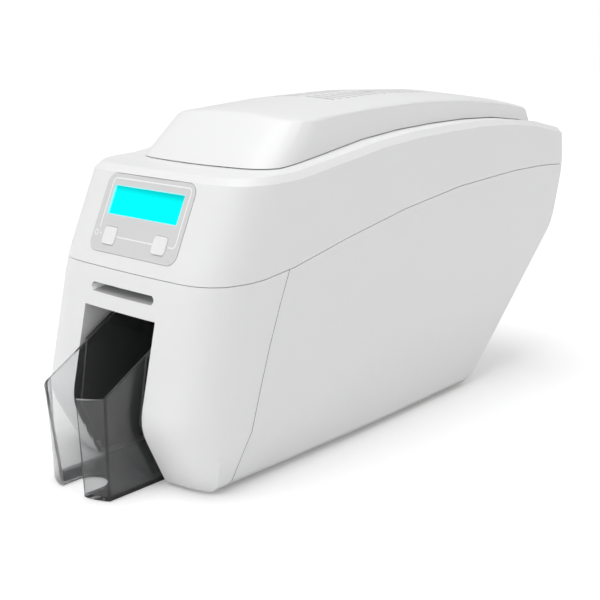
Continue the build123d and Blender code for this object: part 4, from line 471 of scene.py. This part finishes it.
# Ribbon cassette
# A pale grey carrier holds the supply and take-up spools of dyed film, and drops in between the side
# frames from above. The film runs under two steel bars.
Y_AXIS = (0.0, 1.0, 0.0)
SUPPLY_Y = 300.0
TAKEUP_Y = 160.0
SPOOL_Z = 186.0
CORE_R = 10.2
JOURNAL_R = 4.3
ROLL_HALF_W = 27.8 * MM
BAR_PLACES = ((210.0, 151.0), (260.0, 151.0))
BAR_R = 2.8
RIBBON_MOTOR_FACE_X = 42.4 * MM
DYE_REPEAT = 150.0
DYE_START = 0.05
DYES = ((0.0, (0.50, 0.36, 0.02)),
        (0.33, (0.42, 0.02, 0.14)),
        (0.66, (0.01, 0.16, 0.34)),
        (1.0, (0.02, 0.02, 0.03)))
film_dye = plastic("film_dye", (0.030, 0.022, 0.050), 0.14, 0.0020, 0.00001, 0.25)
panels = (film_dye.along(Y_AXIS) / DYE_REPEAT) + DYE_START
dye = film_dye.node("ShaderNodeValToRGB", {"stops": DYES}, {0: panels % 1.0})
dye.socket.node.color_ramp.interpolation = "CONSTANT"
film_dye.surface({"Base Color": dye, "Alpha": 0.94, "Coat Weight": 0.4})

wound_film = Finish("wound_film")
layers = wound_film.waves("X", 300.0, 3.0)
wound_film.surface({"Base Color": wound_film.tones(layers, (0.020, 0.014, 0.032), (0.050, 0.034, 0.070)),
                    "Roughness": (layers * 0.12) + 0.14, "Normal": wound_film.relief(layers, 0.00001)})
cassette_grey = plastic("cassette_grey", (0.66, 0.67, 0.69), 0.42, 0.0006, 0.00003, 0.03)
core_white = plastic("core_white", (0.78, 0.79, 0.80), 0.38, 0.0010, 0.00002, 0.03)
ribbon_motor_metal = stack_metal("ribbon_motor_metal", 45.0, 66.0)
moulding("ribbon_cassette", cassette_grey, "cassette_plastic",
         (rod_steel, lambda face: any(inside(face, *place, BAR_R) for place in BAR_PLACES)))
for spool, spool_y in (("supply_spool", SUPPLY_Y), ("takeup_spool", TAKEUP_Y)):
    moulding(spool, core_white, "spool_plastic",
             (wound_film, lambda face: (reach(face, spool_y, SPOOL_Z) > CORE_R * MM
                                        and abs(middle_x(face)) < ROLL_HALF_W)),
             (rod_steel, lambda face: inside(face, spool_y, SPOOL_Z, JOURNAL_R)))
moulding("takeup_pinion", acetal, "gear_white")
moulding("takeup_motor", ribbon_motor_metal, "motor_metal",
         (rod_steel, lambda face: middle_x(face) < RIBBON_MOTOR_FACE_X))
moulding("ribbon_film", film_dye, "ribbon_film")


# Circuit boards
# Green boards with chips, capacitors and connectors: the main board on steel standoffs inside the
# left side, the sockets' board behind the rear panel, and the small one behind the display.
Z_AXIS = (0.0, 0.0, 1.0)
BOARD_GREEN = (0.012, 0.120, 0.045)
TRACK_GREEN = (0.040, 0.230, 0.085)
TIN = (0.62, 0.62, 0.60)
HOLE_BLACK = (0.01, 0.01, 0.01)
TRACK_HALF_W = 0.035
PAD_R = 0.19
HOLE_R = 0.08


def printed_board(name, across, up):
    """Solder mask over copper tracks, with tinned and drilled pads. The two directions lie in the board."""
    made = Finish(name)
    flat = made.node("ShaderNodeCombineXYZ", {}, {0: made.along(across), 1: made.along(up), 2: 0.0})
    cells = made.node("ShaderNodeTexVoronoi", {"feature": "DISTANCE_TO_EDGE", "voronoi_dimensions": "2D"},
                      {"Vector": flat, "Scale": 0.22, "Randomness": 0.55}, "Distance")
    tracks = (TRACK_HALF_W - cells).between(0.0, 0.01)
    spots = made.node("ShaderNodeTexVoronoi", {"voronoi_dimensions": "2D"},
                      {"Vector": flat, "Scale": 0.36, "Randomness": 0.75}, "Distance")
    pads = (PAD_R - spots).between(0.0, 0.02)
    holes = (HOLE_R - spots).between(0.0, 0.02)
    mask = made.tones(tracks, BOARD_GREEN, TRACK_GREEN)
    tinned = made.tones(pads, mask, TIN)
    made.surface({"Base Color": made.tones(holes, tinned, HOLE_BLACK),
                  "Metallic": pads * 0.8, "Roughness": 0.30 + (pads * 0.08),
                  "Normal": made.relief((tracks * 0.4) + pads, 0.00006)})
    return made


# The left side's board: its parts stand out on the side away from the mechanism.
BOARD_FACE = -59.6 * MM
PART_RISE = 0.1 * MM
HEADERS = ((170.0, 84.0, 14.0, 5.0), (240.0, 84.0, 18.0, 5.0))
CANS = ((275.0, 42.0, 13.0, 6.0),)


def raised(face, *places):
    """True for a face of a part on the board, and only within the places if some are given."""
    middle = face.calc_center_median()
    if middle.x >= BOARD_FACE - PART_RISE:
        return False
    return not places or any(abs(middle.y - TRAY_Y - y * MM) < half_y * MM
                             and abs(middle.z - z * MM) < half_z * MM
                             for y, z, half_y, half_z in places)


board_side = printed_board("board_side", Y_AXIS, Z_AXIS)
chip_black = plastic("chip_black", (0.020, 0.020, 0.022), 0.36, 0.0005, 0.00003, 0.15)
header_cream = plastic("header_cream", (0.66, 0.62, 0.50), 0.42, 0.0008, 0.00003, 0.05)
can_aluminium = turned_steel("can_aluminium", (0.70, 0.71, 0.72), 0.30)
moulding("main_board", board_side, "board_green",
         (chip_black, raised),
         (header_cream, lambda face: raised(face, *HEADERS)),
         (can_aluminium, lambda face: raised(face, *CANS)))
moulding("board_standoffs", rod_steel, "rod_steel")


def slab(form, low, high):
    """Adds a box between two corners to a form."""
    made = bmesh.ops.create_cube(form, size=1.0)["verts"]
    size = [b - a for a, b in zip(low, high)]
    middle = [(a + b) / 2 for a, b in zip(low, high)]
    bmesh.ops.scale(form, vec=size, verts=made)
    bmesh.ops.translate(form, vec=middle, verts=made)


# Each chip has a row of tinned leads along each of its four sides.
CHIPS = ((170.0, 60.0, 20.0, 16), (215.0, 62.0, 14.0, 11))
LEAD_PITCH = 1.15
LEAD_REACH = 0.55
LEAD_HALF_LENGTH = 0.65
LEAD_HALF_WIDTH = 0.22
LEAD_TOP = 0.5 * MM
leads_form = bmesh.new()
for chip_y, chip_z, chip_size, count in CHIPS:
    for side in (-1.0, 1.0):
        out = side * (chip_size / 2 + LEAD_REACH)
        for k in range(count):
            at = (k - (count - 1) / 2) * LEAD_PITCH
            for y, z, half_y, half_z in ((chip_y + at, chip_z + out, LEAD_HALF_WIDTH, LEAD_HALF_LENGTH),
                                         (chip_y + out, chip_z + at, LEAD_HALF_LENGTH, LEAD_HALF_WIDTH)):
                slab(leads_form,
                     (BOARD_FACE - LEAD_TOP, (y - half_y) * MM + TRAY_Y, (z - half_z) * MM),
                     (BOARD_FACE - PART_RISE, (y + half_y) * MM + TRAY_Y, (z + half_z) * MM))
lead_tin = turned_steel("lead_tin", (0.72, 0.72, 0.70), 0.30)
piece("chip_leads", leads_form, [lead_tin], "casing", "rod_steel")


# Rear fittings
# The power inlet, the two data sockets and the rocker switch sit in holes of the rear panel, with the
# cooling fan behind its slots.
REAR_LEAN = 0.8326848
REAR_MIDDLE = Vector((0.0, 0.4055 + TRAY_Y, 0.0667499))
REAR_UP = Vector((0.0, REAR_LEAN, 1.0)).normalized()
REAR_OUT = Vector((0.0, 1.0, -REAR_LEAN)).normalized()
INLET_PIN = (-31.0, -42.0, 2.3, 2.3)
INLET_PIN_AREA = 6.0 * MM * MM
USB_MOUTH = (-8.0, -42.0, 4.0, 3.7)
NETWORK_MOUTH = (16.0, -42.0, 6.2, 6.6)
NETWORK_PINS = (16.0, -39.1, 4.3, 1.2)
NETWORK_PIN_AREA = 19.0 * MM * MM


def at_rear(face, place, depth, largest=1.0):
    """True for a face near a place on the rear panel, deeper than a depth and below an area."""
    across, up, half_w, half_h = [measure * MM for measure in place]
    point = face.calc_center_median() - REAR_MIDDLE
    near = abs(-point.x - across) < half_w and abs(point.dot(REAR_UP) - up) < half_h
    return near and point.dot(REAR_OUT) < -depth * MM and face.calc_area() < largest


board_rear = printed_board("board_rear", X_AXIS, tuple(REAR_UP))
moulding("interface_board", board_rear, "board_green")
socket_black = plastic("socket_black", (0.030, 0.030, 0.031), 0.42, 0.0008, 0.00004, 0.10)
socket_shell = sheet_steel("socket_shell", (0.68, 0.69, 0.70))
contact_gold = turned_steel("contact_gold", (0.80, 0.58, 0.22), 0.24)
moulding("power_inlet", socket_black, "socket_black",
         (contact_gold, lambda face: at_rear(face, INLET_PIN, 2.0, INLET_PIN_AREA)))
moulding("usb_socket", socket_shell, "socket_shell",
         (socket_black, lambda face: at_rear(face, USB_MOUTH, 0.2)))
moulding("network_socket", socket_shell, "socket_shell",
         (socket_black, lambda face: at_rear(face, NETWORK_MOUTH, 0.2)),
         (contact_gold, lambda face: at_rear(face, NETWORK_PINS, 1.2, NETWORK_PIN_AREA)))

# The rocker has a white stroke on its upper half and a white ring on its lower half.
ROCKER_BLACK = (0.030, 0.030, 0.031)
MARK_WHITE = (0.85, 0.85, 0.85)
ROCKER_LEFT = 34.0
ROCKER_UP = 14.0
MARK_UP = 4.6
STROKE_HALF_W = 0.4
STROKE_HALF_H = 1.5
RING_R = 1.3
RING_HALF_LINE = 0.35
SOFT_EDGE = 0.1
rocker_black = plastic("rocker_black", ROCKER_BLACK, 0.34, 0.0008, 0.00004, 0.10)
rocker_across = rocker_black.along((-1.0, 0.0, 0.0), REAR_MIDDLE) + ROCKER_LEFT
rocker_up = rocker_black.along(REAR_UP, REAR_MIDDLE) - ROCKER_UP
stroke_wide = (STROKE_HALF_W - abs(rocker_across)).between(0.0, SOFT_EDGE)
stroke_high = (STROKE_HALF_H - abs(rocker_up - MARK_UP)).between(0.0, SOFT_EDGE)
ring_up = rocker_up + MARK_UP
ring_r = ((rocker_across * rocker_across) + (ring_up * ring_up)) ** 0.5
ring_mark = (RING_HALF_LINE - abs(ring_r - RING_R)).between(0.0, SOFT_EDGE)
marks = (stroke_wide * stroke_high).larger(ring_mark)
rocker_black.surface({"Base Color": rocker_black.tones(marks, ROCKER_BLACK, MARK_WHITE)})
fan_black = plastic("fan_black", (0.032, 0.032, 0.034), 0.40, 0.0010, 0.00004, 0.10)
moulding("switch_housing", socket_black, "socket_black")
moulding("power_switch", rocker_black, "socket_black")
moulding("cooling_fan", fan_black, "fan_black")
moulding("fan_rotor", fan_black, "fan_black")


# Casing
# Two side panels, a rear panel and an upper cover, moulded in white plastic with a fine satin grain,
# and closed on each other with thin open seams.
CASING_WHITE = (0.885, 0.886, 0.890)
CASING_CREASE = 26.0
casing_white = plastic("casing_white", CASING_WHITE, 0.40, 0.0005, 0.000012, 0.012)
# Painted shade for the seam: a dark grey on the faces inside it.
seam_painted_shade = plastic("seam_painted_shade", (0.24, 0.241, 0.244), 0.55, 0.0005, 0.00001, 0.03)

# The side panels' front edges are painted dark grey, as painted shade in the seam behind the fascia.
for shell in ("side_panel_left", "side_panel_right"):
    moulding(shell, casing_white, "casing_white", (seam_painted_shade, lambda face: face.normal.y < -0.6),
             crease=CASING_CREASE)
for shell in ("rear_panel", "upper_cover"):
    moulding(shell, casing_white, "casing_white", crease=CASING_CREASE)


# Front fascia
# The front moulding is of the same white plastic, with the bay's mouth and the card slot in it. The
# bay's lining is black up to a line that follows the tray's sloping walls, and white above it.
FASCIA_SHADE = (0.874, 0.875, 0.879)
LINING_BLACK = (0.034, 0.034, 0.035)
LINING_HALF_W = 37.1
TRAY_FRONT_Z = 70.8
TRAY_BACK_Z = 105.5
TRAY_SLOPE_Y = 57.0
LINE_DROP = 5.5
SLOT_HALF_W = 31.0 * MM
SLOT_LOW_Z = 110.0 * MM
SLOT_HIGH_Z = 130.0 * MM
fascia_white = plastic("fascia_white", CASING_WHITE, 0.40, 0.0005, 0.000012, 0.012)
bay_x = abs(fascia_white.along(X_AXIS))
bay_y = fascia_white.along(Y_AXIS, (0.0, TRAY_Y, 0.0))
bay_z = fascia_white.along(Z_AXIS)
slope_z = (bay_y * ((TRAY_BACK_Z - TRAY_FRONT_Z) / TRAY_SLOPE_Y)) + (TRAY_FRONT_Z - LINE_DROP)
below_line = (slope_z.smaller(TRAY_BACK_Z) - bay_z).between(0.0, 0.4)
lined = (LINING_HALF_W - bay_x).between(0.0, 0.02) * below_line
fascia_tone = fascia_white.tones(fascia_white.noise(14.0, 3.0), FASCIA_SHADE, CASING_WHITE)
fascia_white.surface({"Base Color": fascia_white.tones(lined, fascia_tone, LINING_BLACK)})
# Painted shade in the card slot's throat.
slot_painted_shade = plastic("slot_painted_shade", (0.36, 0.361, 0.365), 0.50, 0.0005, 0.00001, 0.03)


def in_slot(face):
    """The walls of the card slot's throat, painted grey as shade, and not the front face around it."""
    middle = face.calc_center_median()
    within = abs(middle.x) < SLOT_HALF_W and SLOT_LOW_Z < middle.z < SLOT_HIGH_Z
    return within and abs(face.normal.y) < 0.35


moulding("front_fascia", fascia_white, "casing_white", (slot_painted_shade, in_slot), crease=CASING_CREASE)


# Display panel
# A grey plate set into the leaning face, with a white printed frame line that links the two white
# keys, and the backlit window behind it.
PANEL_MIDDLE = (0.0, 0.0595406 + TRAY_Y, 0.1765)
PANEL_UP = (0.0, 0.45625, 1.0)
INK_WHITE = (0.93, 0.932, 0.935)
INK_EDGE = 0.12
FRAME_RIGHT = 0.9
FRAME_UP = 4.2
FRAME_HALF_W = 40.0
FRAME_HALF_H = 20.4
FRAME_R = 3.0
FRAME_HALF_LINE = 0.55
FRAME_FOOT_DOWN = 11.5
FRAME_FOOT_X = 34.5
LINK_DOWN = 16.2
LINK_HALF_W = 18.8
LINK_HALF_LINE = 0.5
SIGN_UP = -15.4
SIGN_RING_X = -41.0
SIGN_RING_R = 1.75
SIGN_HALF_LINE = 0.42
SIGN_DOT_X = -36.5
SIGN_DOT_R = 0.8
WINDOW_UP = 9.3
WINDOW_HALF_W = 36.0
WINDOW_HALF_H = 10.25
WINDOW_R = 0.5


def from_box(right, top, middle, half_w, half_h, radius):
    """Signed distance from a rounded rectangle, good within its corner radius."""
    out_x = (abs(right) - (half_w - radius)).larger(0.0)
    out_y = (abs(top - middle) - (half_h - radius)).larger(0.0)
    return (((out_x * out_x) + (out_y * out_y)) ** 0.5) - radius


def from_point(right, top, x, y):
    """Distance from a point of the plate."""
    return (((right - x) * (right - x)) + ((top - y) * (top - y))) ** 0.5


panel_grey = Finish("panel_grey")
panel_right = panel_grey.along(X_AXIS, PANEL_MIDDLE)
panel_top = panel_grey.along(PANEL_UP, PANEL_MIDDLE)
frame_box = from_box(panel_right - FRAME_RIGHT, panel_top, FRAME_UP, FRAME_HALF_W, FRAME_HALF_H, FRAME_R)
above_foot = (panel_top + FRAME_FOOT_DOWN).between(0.0, 0.1)
beyond_foot = (panel_right - FRAME_FOOT_X).between(0.0, 0.1)
frame_line = (FRAME_HALF_LINE - abs(frame_box)).between(0.0, INK_EDGE) * above_foot.larger(beyond_foot)
link_high = (LINK_HALF_LINE - abs(panel_top + LINK_DOWN)).between(0.0, INK_EDGE)
link_wide = (LINK_HALF_W - abs(panel_right)).between(0.0, 0.1)
ring_edge = abs(from_point(panel_right, panel_top, SIGN_RING_X, SIGN_UP) - SIGN_RING_R)
sign_ring = (SIGN_HALF_LINE - ring_edge).between(0.0, INK_EDGE)
sign_dot = (SIGN_DOT_R - from_point(panel_right, panel_top, SIGN_DOT_X, SIGN_UP)).between(0.0, INK_EDGE)
ink = frame_line.larger(link_high * link_wide).larger(sign_ring).larger(sign_dot)

# Light from the display that spills onto the plate's edge round the window is painted: a cyan tint in its
# colour and a cyan glow on its rim.
GLOW_REACH = 1.3
GLOW_FADE = 1.2
rim = from_box(panel_right, panel_top, WINDOW_UP, WINDOW_HALF_W, WINDOW_HALF_H, WINDOW_R)
glow = (GLOW_REACH - rim).between(0.0, GLOW_FADE) * 0.6
edge_light = (0.05 - rim).between(0.0, 0.1)
plate_tone = panel_grey.tones(panel_grey.noise(20.0, 3.0), (0.690, 0.690, 0.695), (0.705, 0.705, 0.710))
lit_tone = panel_grey.tones(glow, plate_tone, (0.62, 0.92, 0.92))
plate_grain = panel_grey.noise(2000.0, 2.0)
panel_grey.surface({"Base Color": panel_grey.tones(ink, lit_tone, INK_WHITE),
                    "Roughness": (plate_grain * 0.1) + 0.36, "Normal": panel_grey.relief(ink, 0.00003),
                    "Emission Color": panel_grey.tones(edge_light, (0.0, 0.0, 0.0), (0.10, 0.62, 0.62)),
                    "Emission Strength": 1.0})
moulding("display_bezel", panel_grey, "panel_grey", crease=CASING_CREASE)

# The backlight is even cyan, with a painted shadow of the window's upper edge across its top, and faint
# character cells.
COLUMN_W = 4.2
COLUMN_GAP = 0.4
ROW_H = 9.0
ROW_GAP = 0.6
SHADE_LOW = 13.6
SHADE_HIGH = 20.4
display_cyan = Finish("display_cyan")
window_right = display_cyan.along(X_AXIS, PANEL_MIDDLE)
window_top = display_cyan.along(PANEL_UP, PANEL_MIDDLE)
# Painted shadow: the top of the backlight is darkened as if by the window's upper edge.
shaded = (window_top + (window_right * 0.02)).between(SHADE_LOW, SHADE_HIGH) * 0.55
between_columns = abs((window_right % COLUMN_W) - COLUMN_W / 2) - (COLUMN_W - COLUMN_GAP) / 2
between_rows = abs((window_top % ROW_H) - ROW_H / 2) - (ROW_H - ROW_GAP) / 2
cells = between_columns.larger(between_rows).between(0.0, 0.1)
display_cyan.surface({"Base Color": (0.0, 0.04, 0.04, 1.0), "Roughness": 0.30, "Specular IOR Level": 0.02,
                      "Emission Color": display_cyan.tones(shaded + (cells * 0.02), (0.0, 1.0, 1.0),
                                                           (0.0, 0.30, 0.30)),
                      "Emission Strength": 1.0})
moulding("lcd_window", display_cyan, "display_cyan", crease=CASING_CREASE)

button_white = plastic("button_white", (0.90, 0.902, 0.905), 0.28, 0.0005, 0.000006, 0.01)
moulding("button_left", button_white, "button_white")
moulding("button_right", button_white, "button_white")
board_front = printed_board("board_front", X_AXIS, PANEL_UP)
moulding("control_board", board_front, "board_green")


# Print head and lid
# The lid is one deep white hood, hinged on two pins at the rear. Under it a folded steel bracket
# carries the print head and its finned heat sink.
GLAZE_Z = 130.5 * MM
LID_CREASE = 50.0
head_dark = plastic("head_dark", (0.060, 0.058, 0.055), 0.30, 0.0010, 0.00001, 0.05)
head_glaze = turned_steel("head_glaze", (0.46, 0.30, 0.14), 0.20)
sink_aluminium = turned_steel("sink_aluminium", (0.75, 0.76, 0.77), 0.34)
lid_white = plastic("lid_white", (0.905, 0.906, 0.910), 0.36, 0.0005, 0.000010, 0.010)
moulding("print_head", head_dark, "head_ceramic",
         (head_glaze, lambda face: face.calc_center_median().z < GLAZE_Z))
moulding("head_heatsink", sink_aluminium, "sink_aluminium")
moulding("head_bracket", frame_steel, "frame_steel")
moulding("lid_hinge_pins", rod_steel, "rod_steel")
moulding("lid_hood", lid_white, "lid_white", crease=LID_CREASE)


# Card unit
# The clear tray in front catches the printed cards, and the black hopper behind it holds the blank
# ones on a lift plate. The two slide out together.
hopper_black = plastic("hopper_black", (0.030, 0.030, 0.031), 0.46, 0.0008, 0.00006, 0.15)
lift_grey = plastic("lift_grey", (0.16, 0.16, 0.165), 0.45, 0.0008, 0.00004, 0.10)
moulding("card_hopper", hopper_black, "hopper_black")
moulding("hopper_lift_plate", lift_grey, "lift_grey")

# The clear plastic is painted darker, as shade, where the walls bend round the tray's two front
# corners, and painted greyer, as shade, on its cut edges.
FLOOR_SMOKE_AND_SHADE = (0.27, 0.275, 0.28)
FOLD_PAINTED_SHADE = (0.22, 0.22, 0.225)
FLOOR_TOP = 3.4
CORNER_X = 30.0
CORNER_Y = 0.5
FOLD_R = 1.5
WALL_LOW = 4.0
WALL_HIGH = 56.0
VANE_TIP_X = 17.5 * MM
VANE_START = 0.2 * MM
VANE_OUT = 1.0 * MM
EDGE_LOW = 4.0 * MM


def clear_plastic(name, walls, rough):
    """Clear styrene with a light smoke in it, painted darker towards the floor as shade, and faint smears on
    its polish.
    """
    made = Finish(name)
    height = made.along(Z_AXIS)
    # Painted shade: the walls darken towards the floor, and the floor's dark tone is smoke and painted shade
    # together.
    wall_smoke_and_shade = made.tones(height.between(WALL_LOW, WALL_HIGH), [0.72 * shade for shade in walls], walls)
    tone = made.tones((FLOOR_TOP - height).between(0.0, 0.8), wall_smoke_and_shade, FLOOR_SMOKE_AND_SHADE)
    beside = abs(made.along(X_AXIS)) - CORNER_X
    behind = made.along(Y_AXIS, (0.0, TRAY_Y, 0.0)) - CORNER_Y
    from_corner = ((beside * beside) + (behind * behind)) ** 0.5
    # Painted shade along the bends at the tray's two front corners.
    fold_painted_shade = (FOLD_R - from_corner).between(0.0, 0.5) * 0.9
    smear = made.noise(38.0, 4.0)
    made.surface({"Base Color": made.tones(fold_painted_shade, tone, FOLD_PAINTED_SHADE), "IOR": 1.12, "Transmission Weight": 0.972,
                  "Roughness": smear.between(0.5, 0.8, rough, rough + 0.04),
                  "Coat Weight": smear.between(0.3, 0.8, 0.75, 0.55),
                  "Coat Roughness": 0.03, "Coat IOR": 1.5})
    return made


def on_vane(face):
    return face.calc_center_median().y < TRAY_Y - VANE_START


def on_edge(face):
    """Cut edges of the clear walls: their tops and the tips of the vanes."""
    middle = face.calc_center_median()
    tip = abs(middle.x) < VANE_TIP_X and middle.y < TRAY_Y - VANE_OUT and abs(face.normal.x) > 0.6
    return middle.z > EDGE_LOW and (face.normal.z > 0.5 or tip)


clear_smoky = clear_plastic("clear_smoky", (0.88, 0.885, 0.89), 0.01)
clear_vane = clear_plastic("clear_vane", (0.84, 0.845, 0.85), 0.14)
# Painted shade: the cut edges are grey, and rougher than the polished walls.
clear_edge_painted_shade = clear_plastic("clear_edge_painted_shade", (0.40, 0.405, 0.41), 0.32)
moulding("card_tray", clear_smoky, "clear_smoky", (clear_vane, on_vane), (clear_edge_painted_shade, on_edge))
